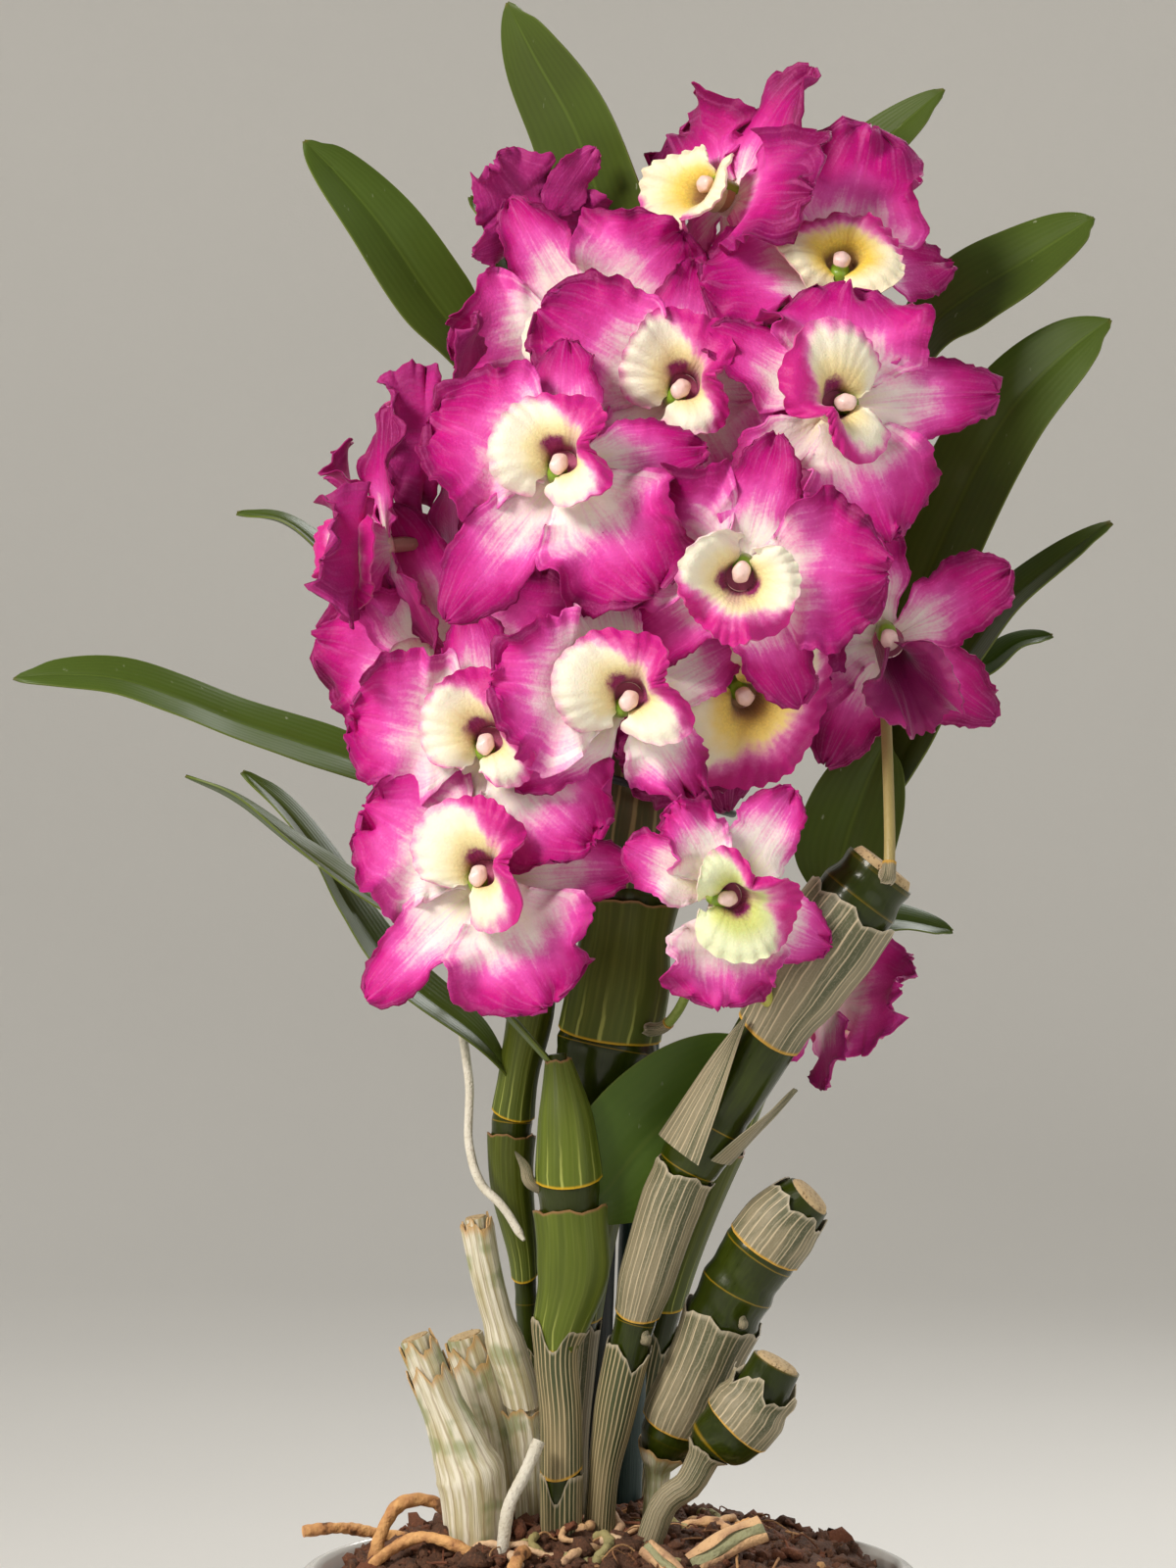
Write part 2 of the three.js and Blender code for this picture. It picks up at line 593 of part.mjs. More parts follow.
// Each bloom: where its middle is, which way it looks (yaw to the right, pitch up), the angle of its
// lip in front view (0 right, 90 up), its size, the cane and place that carry it, and the segments
// or lip sizes in which it differs.
const BLOOMS = {
  bloom_01: { at: [-11, -46, 417], yaw: -6, pitch: 8, lipTurn: 52, on: ["cane_main", 384, -25],
    dorsal: { length: 44, width: 22 }, petalA: { length: 36 } },
  bloom_02: { at: [18, -24, 438], yaw: 1, pitch: 2, lipTurn: 44, on: ["cane_main", 414, 5],
    petalB: { length: 38, width: 34 } },
  bloom_03: { at: [55, -38, 433], yaw: 14, pitch: 2, lipTurn: 186, on: ["cane_main", 424, 75],
    dorsal: { length: 42, width: 21 } },
  bloom_04: { at: [32, -50, 391], yaw: -2, pitch: -2, lipTurn: 255, on: ["cane_main", 371, 45],
    petalA: { length: 29, rise: 13, fall: -21 }, dorsal: { length: 33, rise: 5, fall: -19 },
    lateralA: { rise: -5, fall: -21 },
    lateralB: { rise: -5, fall: -21 } },
  bloom_05: { at: [4, -44, 361], yaw: 6, pitch: -1, lipTurn: 66, on: ["cane_main", 345, -15],
    dorsal: { bearing: -28, length: 32 }, petalA: { bearing: 58, width: 17, length: 28 },
    petalB: { rise: 35, fall: 1 },
    lateralA: { rise: -13, fall: -29 },
    lateralB: { rise: 7, fall: -9 } },
  bloom_06: { at: [-29, -36, 350], yaw: -7, pitch: 2, lipTurn: 62, on: ["cane_left", 337, 15],
    dorsal: { length: 28 },
    petalB: { rise: 24, fall: -10 },
    lateralA: { rise: -18, fall: -34 } },
  bloom_07: { at: [-30, -37, 317], yaw: -11, pitch: 6, lipTurn: 45, on: ["cane_left", 304, 0],
    dorsal: { length: 40 },
    petalB: { rise: 22, fall: -12 },
    lateralB: { rise: -24, fall: -40 } },
  bloom_08: { at: [28, -51, 313], yaw: 8, pitch: -4, lipTurn: 14, on: ["cane_main", 288, 60],
    dorsal: { bearing: -40, length: 27 }, petalB: { width: 18, length: 26 } },
  bloom_09: { at: [58, -10, 467], yaw: 4, pitch: 35, lipTurn: 80, on: ["cane_main", 448, 75],
    petalA: { bearing: 176, width: 36, length: 42, rise: 8, fall: 22 },
    petalB: { bearing: -70, rise: 23, fall: -11 }, lateralA: { bearing: 125 },
    dorsal: { rise: 12, fall: -12 } },
  bloom_10: { at: [31, 3, 489], yaw: -52, pitch: 20, lipTurn: 250, on: ["cane_main", 459, 10] },
  bloom_11: { at: [-5, -1, 455], yaw: -10, pitch: -9, lipTurn: -60, on: ["cane_main", 440, -60],
    dorsal: { rise: 10, fall: -14 },
    petalB: { rise: 19, fall: -15 } },
  bloom_12: { at: [-17, 5, 483], yaw: 200, pitch: 16, lipTurn: 300, size: 0.6, on: ["cane_left", 458, 10] },
  bloom_13: { at: [-38, 0, 428], yaw: -107, pitch: 2, lipTurn: 100, on: ["cane_left", 424, -20] },
  bloom_14: { at: [-56, -14, 400], yaw: -72, pitch: -9, lipTurn: 250, size: 0.9,
    on: ["cane_left", 394, -45] },
  bloom_15: { at: [-41, -5, 368], yaw: -19, pitch: -7, lipTurn: 270, on: ["cane_left", 362, -30],
    dorsal: { rise: 19, fall: -5 },
    petalA: { rise: 18, fall: -16 },
    lateralB: { rise: -9, fall: -25 } },
  bloom_16: { at: [32, -20, 364], yaw: 14, pitch: -17, lipTurn: 315, on: ["cane_main", 340, 78],
    lip: { reach: 23 },
    petalA: { rise: 28, fall: -6 } },
  bloom_17: { at: [70, -16, 376], yaw: 1, pitch: -4, lipTurn: 285, on: ["cane_right_cut", 318, 10],
    petalB: { width: 20, wave: 0.6 }, lip: { reach: 27, throat: 2.4, from: 8, to: 30, tilt: 38, wave: 2 } },
  bloom_18: { at: [55, 4, 284], yaw: 128, pitch: -14, lipTurn: 275, size: 0.78,
    on: ["cane_back", 287, 45] },
};

function bloomFrame({ at, yaw, pitch, lipTurn }) {
  const [a, b, c] = [degrees(yaw), degrees(pitch), degrees(lipTurn)];
  const out = new THREE.Vector3(Math.sin(a) * Math.cos(b), -Math.cos(a) * Math.cos(b), Math.sin(b));
  const right = new THREE.Vector3(0, 0, 1).cross(out).normalize();
  const up = out.clone().cross(right);
  const lip = right.multiplyScalar(Math.cos(c)).addScaledVector(up, Math.sin(c));
  const side = out.clone().cross(lip);
  return new THREE.Matrix4().makeBasis(lip, side, out).setPosition(...at);
}

// Distances along and above a line whose slope turns evenly from one angle to another.
function turningLine(length, from, to, u) {
  const [a, turn] = [degrees(from), degrees(to - from)];
  const b = a + turn * u;
  return {
    along: (length * (Math.sin(b) - Math.sin(a))) / turn,
    above: (length * (Math.cos(a) - Math.cos(b))) / turn,
    slope: b,
  };
}

// Outline of a sepal or petal: a narrow foot that opens to the full width, and a rounded tip.
function segmentShare({ foot, opens }, u) {
  const opening = foot + (1 - foot) * THREE.MathUtils.smoothstep(u, 0, opens);
  return opening * Math.sqrt(1 - 0.985 * Math.max(0, (u - 0.45) / 0.55) ** 2.4);
}

function segmentBlade(segment) {
  const bearing = degrees(segment.bearing);
  const outwards = new THREE.Vector3(-Math.cos(bearing), -Math.sin(bearing), 0);
  const across = new THREE.Vector3(Math.sin(bearing), -Math.cos(bearing), 0);
  const waved = segment.wave > 0;
  const surface = (u, v) => {
    const { along, above, slope } = turningLine(segment.length, segment.rise, segment.fall, u);
    const half = (segment.width / 2) * segmentShare(segment, u);
    const ripple = waved ? segment.wave * v * v * Math.cos(Math.PI * 6 * u + 2.4 * Math.sign(v)) : 0;
    const lift = 0.07 * v * v * half + ripple * Math.min(1, 3 * u);
    return outwards.clone().multiplyScalar(BLOOM_HUB - 0.9 + along - lift * Math.sin(slope))
      .addScaledVector(across, v * half)
      .add(new THREE.Vector3(0, 0, segment.layer + above + lift * Math.cos(slope)));
  };
  return solidOf(blade(surface, waved ? 5 : 4, 2, PETAL_THICKNESS));
}

function lipSheet(lip) {
  const tilt = degrees(lip.tilt);
  const surface = (u, v) => {
    const { along: height, above: spread } = turningLine(lip.reach, lip.from, lip.to, u);
    const turn = v * degrees(lip.open);
    const ripple = lip.wave * u * u * Math.cos(Math.PI * (v + 1) * (LIP_FOLDS / 2));
    const radius = lip.throat + spread * (0.86 + 0.14 * Math.cos(turn));
    const [x, y, z] = [radius * Math.cos(turn), radius * Math.sin(turn), height + ripple];
    return new THREE.Vector3(
      x * Math.cos(tilt) + z * Math.sin(tilt) - LIP_SET_BACK,
      y,
      z * Math.cos(tilt) - x * Math.sin(tilt) + 3.4,
    );
  };
  return solidOf(blade(surface, 2, LIP_FOLDS, PETAL_THICKNESS));
}

function columnSolid() {
  const outline = [[0, 1.8], [2.2, 1.8], [2.1, 8.4], [2.4, 11.4], [0, 12.8]];
  const turned = new THREE.LatheGeometry(outline.map(([r, z]) => new THREE.Vector2(r, z)), 5);
  return solidOf(turned.rotateX(Math.PI / 2));
}

function hubSolid() {
  const outline = [[0, -1.4], [BLOOM_HUB, -1.4], [BLOOM_HUB, 1.4], [0, 1.4]];
  const turned = new THREE.LatheGeometry(outline.map(([r, z]) => new THREE.Vector2(r, z)), 6);
  return solidOf(turned.rotateX(Math.PI / 2));
}

function pedicelSolid(frame, seat, out) {
  const back = new THREE.Vector3().setFromMatrixColumn(frame, 2).negate();
  const start = new THREE.Vector3().setFromMatrixPosition(frame).addScaledVector(back, 0.4);
  const span = start.distanceTo(seat);
  const path = new THREE.CubicBezierCurve3(
    start,
    start.clone().addScaledVector(back, 0.42 * span),
    seat.clone().addScaledVector(out, 0.3 * span),
    seat,
  );
  return solidOf(tube(path, PEDICEL_RADIUS, 3, 4));
}

function bloomSolids(bloom) {
  const frame = bloomFrame(bloom);
  const size = bloom.size ?? 1;
  const placed = (solid) => solid.scale(size).transform(frame.toArray());
  const segments = Object.entries(SEGMENTS).map(([name, usual]) =>
    segmentBlade({ ...usual, ...bloom[name] }),
  );
  const { seat, out } = placeOn(...bloom.on);
  return {
    petals: fuse([...[hubSolid(), ...segments].map(placed), pedicelSolid(frame, seat, out)]),
    lip: fuse([columnSolid(), lipSheet({ ...LIP, ...bloom.lip })].map(placed)),
  };
}

// ---- Scene graph -----------------------------------------------------------------------------------

const FINISH = {
  glaze: { color: 0xe1e0dc, roughness: 0.18, metalness: 0 },
  mix: { color: 0x4b2819, roughness: 0.95, metalness: 0 },
  stake: { color: 0x2a3b3b, roughness: 0.5, metalness: 0 },
  ring: { color: 0x141419, roughness: 0.4, metalness: 0 },
  green: { color: 0x2f4a12, roughness: 0.4, metalness: 0 },
  dry: { color: 0xb0a084, roughness: 0.7, metalness: 0 },
  root: { color: 0xd7b98a, roughness: 0.8, metalness: 0 },
  petal: { color: 0xd2288a, roughness: 0.55, metalness: 0 },
  lip: { color: 0xf2e2b8, roughness: 0.6, metalness: 0 },
};
const materials = {};
for (const [name, look] of Object.entries(FINISH)) materials[name] = new THREE.MeshStandardMaterial(look);

const orchid = new THREE.Group();

function addMesh(name, solid, finish) {
  const mesh = new THREE.Mesh(geometryOf(solid), materials[finish]);
  mesh.name = name;
  orchid.add(mesh);
}

addMesh("pot", potSolid(), "glaze");

const sockets = [];
for (const name of Object.keys(CANES)) sockets.push(caneSocket(name));
for (const root of Object.values(ROOTS)) sockets.push(lyingSocket(rootSolid, root));
for (const stub of Object.values(STUB_ENDS)) sockets.push(lyingSocket(stubSolid, stub));
for (const ends of Object.values(STAKES)) sockets.push(stakeSolid(ends, SEAT_GAP).translate(DROP));
addMesh("potting_mix", largest(mixSolid().subtract(wasm.Manifold.union(sockets))), "mix");

for (const name of Object.keys(CANES)) {
  addMesh(name, leafyCane(name), name.startsWith("dry") ? "dry" : "green");
}
for (const [name, root] of Object.entries(ROOTS)) addMesh(name, rootSolid(root), "root");
for (const [name, stub] of Object.entries(STUB_ENDS)) addMesh(name, stubSolid(stub), "dry");
for (const [name, ends] of Object.entries(STAKES)) addMesh(name, stakeSolid(ends), "stake");
addMesh("support_ring", hoopSolid(), "ring");

for (const [name, bloom] of Object.entries(BLOOMS)) {
  const { petals, lip } = bloomSolids(bloom);
  addMesh(`${name}_petals`, petals, "petal");
  addMesh(`${name}_lip`, lip, "lip");
}

export default orchid;
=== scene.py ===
"""Flowering dendrobium orchid in a round glazed pot, laid out as a Blender add-on.

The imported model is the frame: every piece built here stands in the place of its nodes. Tables hold
millimetres; MM turns them into the scene's metres.
"""

import math

import bpy
import numpy as np
from bpy.props import FloatProperty, FloatVectorProperty, IntProperty, PointerProperty
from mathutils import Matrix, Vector, noise


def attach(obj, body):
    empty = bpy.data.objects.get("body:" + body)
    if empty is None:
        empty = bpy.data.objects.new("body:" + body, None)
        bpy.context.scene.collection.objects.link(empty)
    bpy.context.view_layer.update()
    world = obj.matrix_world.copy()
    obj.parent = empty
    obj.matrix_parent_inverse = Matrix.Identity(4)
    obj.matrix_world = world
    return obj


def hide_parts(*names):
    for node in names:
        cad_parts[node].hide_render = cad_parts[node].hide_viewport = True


bl_info = {
    "name": "Potted Dendrobium Orchid",
    "version": (1, 0, 0),
    "blender": (4, 5, 0),
    "location": "View3D > Sidebar > Orchid",
    "description": "Dresses the packed orchid: blooms, canes, leaves, roots, potting mix and pot",
    "category": "Object",
}

MM = 0.001
FRONT = np.array([0.0, -1.0, 0.0])
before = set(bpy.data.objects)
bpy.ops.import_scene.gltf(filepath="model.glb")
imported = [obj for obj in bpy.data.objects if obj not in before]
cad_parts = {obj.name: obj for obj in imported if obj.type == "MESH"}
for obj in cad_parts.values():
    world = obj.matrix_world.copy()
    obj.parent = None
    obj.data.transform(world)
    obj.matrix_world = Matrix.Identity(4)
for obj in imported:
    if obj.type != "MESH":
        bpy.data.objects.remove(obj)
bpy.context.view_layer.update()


# ---- Tables: lines and sizes of the plant, in millimetres ----

# The pot's section as (radius, height): the rounded heel between its flat underside and its wall, then the
# wall up over the rolled rim and down the inside, then the edge of the floor inside it.
POT_HEEL = [(50, 0), (54, 1.2), (57, 6)]
POT_WALL = [
    (64, 20), (72, 64), (77, 121), (79.7, 124), (80.5, 135), (76.9, 140), (73.5, 136), (70.5, 98), (58, 24),
]
POT_FLOOR = (48, 8)
# Radius of the small flat caps that close the pot's two faces on its axis.
POT_CAP = 0.4
# The drain holes: how many, how far from the axis, their radius, and the heights that they are cut through.
DRAIN_HOLES = 3
DRAIN_RING = 30
DRAIN_RADIUS = 4.5
DRAIN_HEIGHTS = (-4, 6, 16)

# The mound of potting mix: its radius, the height of its edge and how far its crown rises above that.
MIX_RADIUS = 73.1
MIX_EDGE = 138.5
MIX_CROWN = 13
# Its underside inside the pot, as (radius, height).
MIX_UNDER = [(72.3, 136.5), (69.1, 98), (57, 24), (47, 8.4)]
# Points round the mound, and rings of them from its middle to its edge.
MIX_SIDES = 160
MIX_RINGS = 62
# Clods of the mound's surface, as (size, height).
MIX_CLODS = [(9, 1.5), (3.6, 1.3), (1.6, 1.1)]

# The ball that a crumb starts from: its sides, and the angles of its rings from its top, in radians.
BALL_SIDES = 7
BALL_RINGS = (0.5, 1.2, 1.9, 2.7)

# Length of one step along a bare stem, and height of one along a sheath or skin.
STEM_STEP = 1.5
COVER_STEP = 2.4
# Thickness of dry skins, of living sheaths, of torn husks and flaps, and of leaves.
SKIN_THICKNESS = 0.3
SHEATH_THICKNESS = 0.45
HUSK_THICKNESS = 0.5
LEAF_THICKNESS = 0.9
# A cover stands off its stem by the play; its lower edge dips in front, more so on a tall one.
COVER_PLAY = 0.15
COVER_TALL = 15
DIP_TALL = 3.0
DIP_SHORT = 1.0
# Heights of the bands that are painted on a cover, at its foot and at its upper edge.
FOOT_BAND = 2.6
EDGE_BAND = 4
# How deep striped covers are notched at their upper edge.
STRIPED_NOTCH = 7.0
# Rows and columns of the blades.
LEAF_GRID = (56, 13)
FLAP_GRID = (30, 13)
STRIP_GRID = (26, 9)
# Height in the mix from which a stub wears its husk.
STUB_FOOT = 140
# Where the strips of skin lie round a split end, in radians.
STRIP_TURNS = (0.9, 2.9, 5.0)
# A cut cane: where its stem stops, and the cut face, which lies between two places and has these shares of
# the cane's radius.
CUT_STEM_END = 0.988
CUT_FACE = (0.97, 1.0)
CUT_ROUNDING = (0.9, 0.94, 0.95, 0.94, 0.9, 0.84)

STAKE_RADIUS = 4.3
# The wire hoop: its centre, its radius, the wire's radius, and the steps round the hoop and round the wire.
HOOP_CENTRE = (9, 15, 339)
HOOP_RADIUS = 24
HOOP_WIRE = 1.1
HOOP_STEPS = (96, 12)
# How far the hoop leans down on its right, in radians.
HOOP_TILT = 0.28
# The sleeve that holds the hoop: its middle's height on the stake, half its length, its wall and its play.
SLEEVE_HEIGHT = 338
SLEEVE_REACH = 4
SLEEVE_WALL = 1.2
SLEEVE_PLAY = 0.3
# The bar from the sleeve to the hoop: its radius, and where along the width it meets the hoop.
BAR_RADIUS = 1.3
BAR_END = 12

# The hub's radius, and half its height.
BLOOM_HUB = 4.2
HUB_REACH = 1.4
# The stalk's radius, then the radius of its bract and where that lies on the stalk.
STALK_RADIUS = 1.425
BRACT_RADIUS = 1.75
BRACT_ENDS = (0.82, 0.985)
# Sepals and petals. Bearings are counted from the dorsal sepal, rise and fall are the slopes in degrees
# at the foot and the tip, and phase sets where the ruffle starts. A lift in a bloom's own row raises
# both slopes.
SEPAL = {
    "width": 19, "wave": 0.8, "foot": 0.36, "opens": 0.34, "layer": -0.45, "point": 1.7, "grid": (30, 13),
}
PETAL = {
    "width": 38, "wave": 1.8, "foot": 0.28, "opens": 0.4, "layer": 0.45, "point": 2.4, "grid": (46, 25),
}
SEGMENTS = {
    "dorsal": {**SEPAL, "bearing": 0, "length": 37, "rise": 8, "fall": -16, "phase": 115.8},
    "petalA": {**PETAL, "bearing": 74, "length": 33, "rise": 20, "fall": -14, "phase": 72.8},
    "petalB": {**PETAL, "bearing": -74, "length": 33, "rise": 20, "fall": -14, "phase": 73.8},
    "lateralA": {**SEPAL, "bearing": 140, "length": 33, "rise": -8, "fall": -24, "phase": 75.4},
    "lateralB": {**SEPAL, "bearing": -140, "length": 33, "rise": -8, "fall": -24, "phase": 76.4},
}
# The lip: from its throat it turns from one slope to another, in degrees, and is open to either side of its
# middle. It folds inwards at the bearing fold; WHOLE there means a fan without a fold.
WHOLE = 400
LIP = {"reach": 20, "throat": 3.0, "from": 8, "to": 80, "tilt": 9, "open": 167, "wave": 1.5, "fold": -48}
# Rows and columns of the lip's points.
LIP_GRID = (22, 137)
# Least room that the lip leaves round the column, and how softly it keeps to it.
THROAT_ROOM = 3.3
THROAT_EASE = 0.8
# The closed foot of the throat: its radius, and the heights of its two faces over the hub.
THROAT_FLOOR = 3.9
THROAT_FLOOR_ENDS = (1.6, 4.1)
# The column: radius and height, then the line on which it leans from its foot over the throat.
COLUMN = [(0.3, 0.2), (2.4, 0.4), (2.8, 3), (2.8, 6), (2.1, 7.3), (2.45, 8.7), (2.25, 10), (0.3, 11)]
COLUMN_LEAN = [(-2.6, 0, 0.2), (-2.2, 0, 4), (-1.3, 0, 7.5), (0.3, 0, 11)]

# Canes and old stubs from the foot up: points of the middle line.
CANE_LINES = {
    "cane_main": [
        [-11, 14, 112], [-11, 13, 163], [-10, 11, 189], [-8, 10, 216], [-5, 8, 242], [-2, 8, 264],
        [3, 8, 290], [6, 8, 314], [9, 9, 340], [11, 12, 365], [13, 15, 401], [15, 18, 436], [15, 20, 462],
    ],
    "cane_front": [
        [-12, -14, 118], [-12, -14, 150], [-12, -14, 179], [-13, -14, 199], [-9, -14, 217],
        [-10, -14, 236], [-11, -14, 256], [-13, -14, 272],
    ],
    "cane_left": [
        [-20, 26, 112], [-20, 24, 174], [-21, 22, 199], [-22, 20, 217], [-25, 18, 236], [-25, 18, 251],
        [-23, 17, 266], [-20, 17, 282], [-20, 18, 299], [-25, 20, 325], [-27, 22, 350], [-27, 24, 378],
        [-27, 26, 412], [-25, 26, 442], [-24, 26, 465],
    ],
    "cane_right_cut": [
        [-4, -7, 116], [-2, -10, 159], [1, -12, 179], [5, -14, 198], [10, -16, 217], [17, -18, 238],
        [25, -20, 253], [36, -22, 271], [48, -24, 291], [59, -25, 307], [69, -26, 320],
    ],
    "cane_cut_middle": [
        [9, 3, 118], [12, -2, 158], [13, -4, 168], [17, -6, 178], [23, -9, 191], [30, -12, 208],
        [36, -14, 219], [44, -16, 230], [51, -18, 237],
    ],
    "cane_cut_small": [
        [3, -22, 120], [12, -26, 157], [20, -28, 166], [25, -29, 175], [31, -30, 180], [37, -31, 188],
        [42, -32, 197],
    ],
    "cane_back": [
        [5, 47, 112], [6, 45, 150], [15, 42, 203], [30, 38, 247], [46, 34, 283], [59, 32, 307],
        [65, 32, 335], [69, 32, 366], [71, 32, 402], [71, 32, 437],
    ],
    "dry_stub_left": [
        [-33, -14, 124], [-34, -16, 160], [-37, -17, 172], [-43, -18, 187], [-49, -19, 202],
    ],
    "dry_stub_middle": [[-24, 8, 122], [-27, 6, 159], [-30, 4, 177], [-37, 2, 200]],
    "dry_stub_tall": [
        [-18, 1, 120], [-20, -1, 165], [-22, -2, 183], [-27, -3, 200], [-31, -4, 215], [-34, -5, 231],
    ],
}
# Their girth, as (share of the length, radius).
CANE_PROFILES = {
    "cane_main": [
        [0, 5], [0.1, 5.2], [0.2, 6.4], [0.3, 9], [0.4, 10.6], [0.43, 12.6], [0.51, 12.2], [0.53, 10],
        [0.62, 11.6], [0.68, 9.8], [0.77, 8], [0.88, 6.4], [1, 3.4],
    ],
    "cane_front": [
        [0, 4.6], [0.22, 4.8], [0.42, 4.8], [0.46, 6.2], [0.58, 8.4], [0.68, 7.4], [0.76, 7.8],
        [0.86, 6.2], [1, 2],
    ],
    "cane_left": [
        [0, 3.4], [0.12, 2.6], [0.21, 3], [0.28, 4.8], [0.36, 5.2], [0.42, 4.4], [0.5, 5.4], [0.6, 4.6],
        [0.7, 4.8], [0.85, 4.4], [1, 2.4],
    ],
    "cane_right_cut": [
        [0, 3.4], [0.12, 3.4], [0.22, 4.8], [0.35, 5], [0.38, 6.4], [0.5, 7], [0.52, 6], [0.56, 8.6],
        [0.62, 7.8], [0.76, 8.6], [0.78, 10.8], [0.86, 12], [0.92, 10.6], [1, 9],
    ],
    "cane_cut_middle": [
        [0, 2.6], [0.22, 2.6], [0.3, 6.4], [0.4, 9], [0.56, 8.6], [0.6, 9.2], [0.74, 9.4], [0.86, 9.4],
        [1, 6],
    ],
    "cane_cut_small": [
        [0, 3], [0.16, 3], [0.46, 3.2], [0.52, 6.6], [0.62, 8.8], [0.78, 9], [0.82, 7.4], [1, 6],
    ],
    "cane_back": [
        [0, 3.4], [0.1, 3.2], [0.24, 5], [0.34, 6.4], [0.46, 5.4], [0.58, 6], [0.68, 5], [0.78, 5.4],
        [1, 2.6],
    ],
    "dry_stub_left": [[0, 6], [0.2, 7.4], [0.36, 8.2], [0.52, 6.6], [0.7, 4.6], [1, 4.4]],
    "dry_stub_middle": [[0, 4], [0.3, 5.4], [0.6, 5], [1, 5.4]],
    "dry_stub_tall": [[0, 3.6], [0.3, 4.2], [0.58, 4.5], [0.64, 3.4], [1, 3.3]],
}

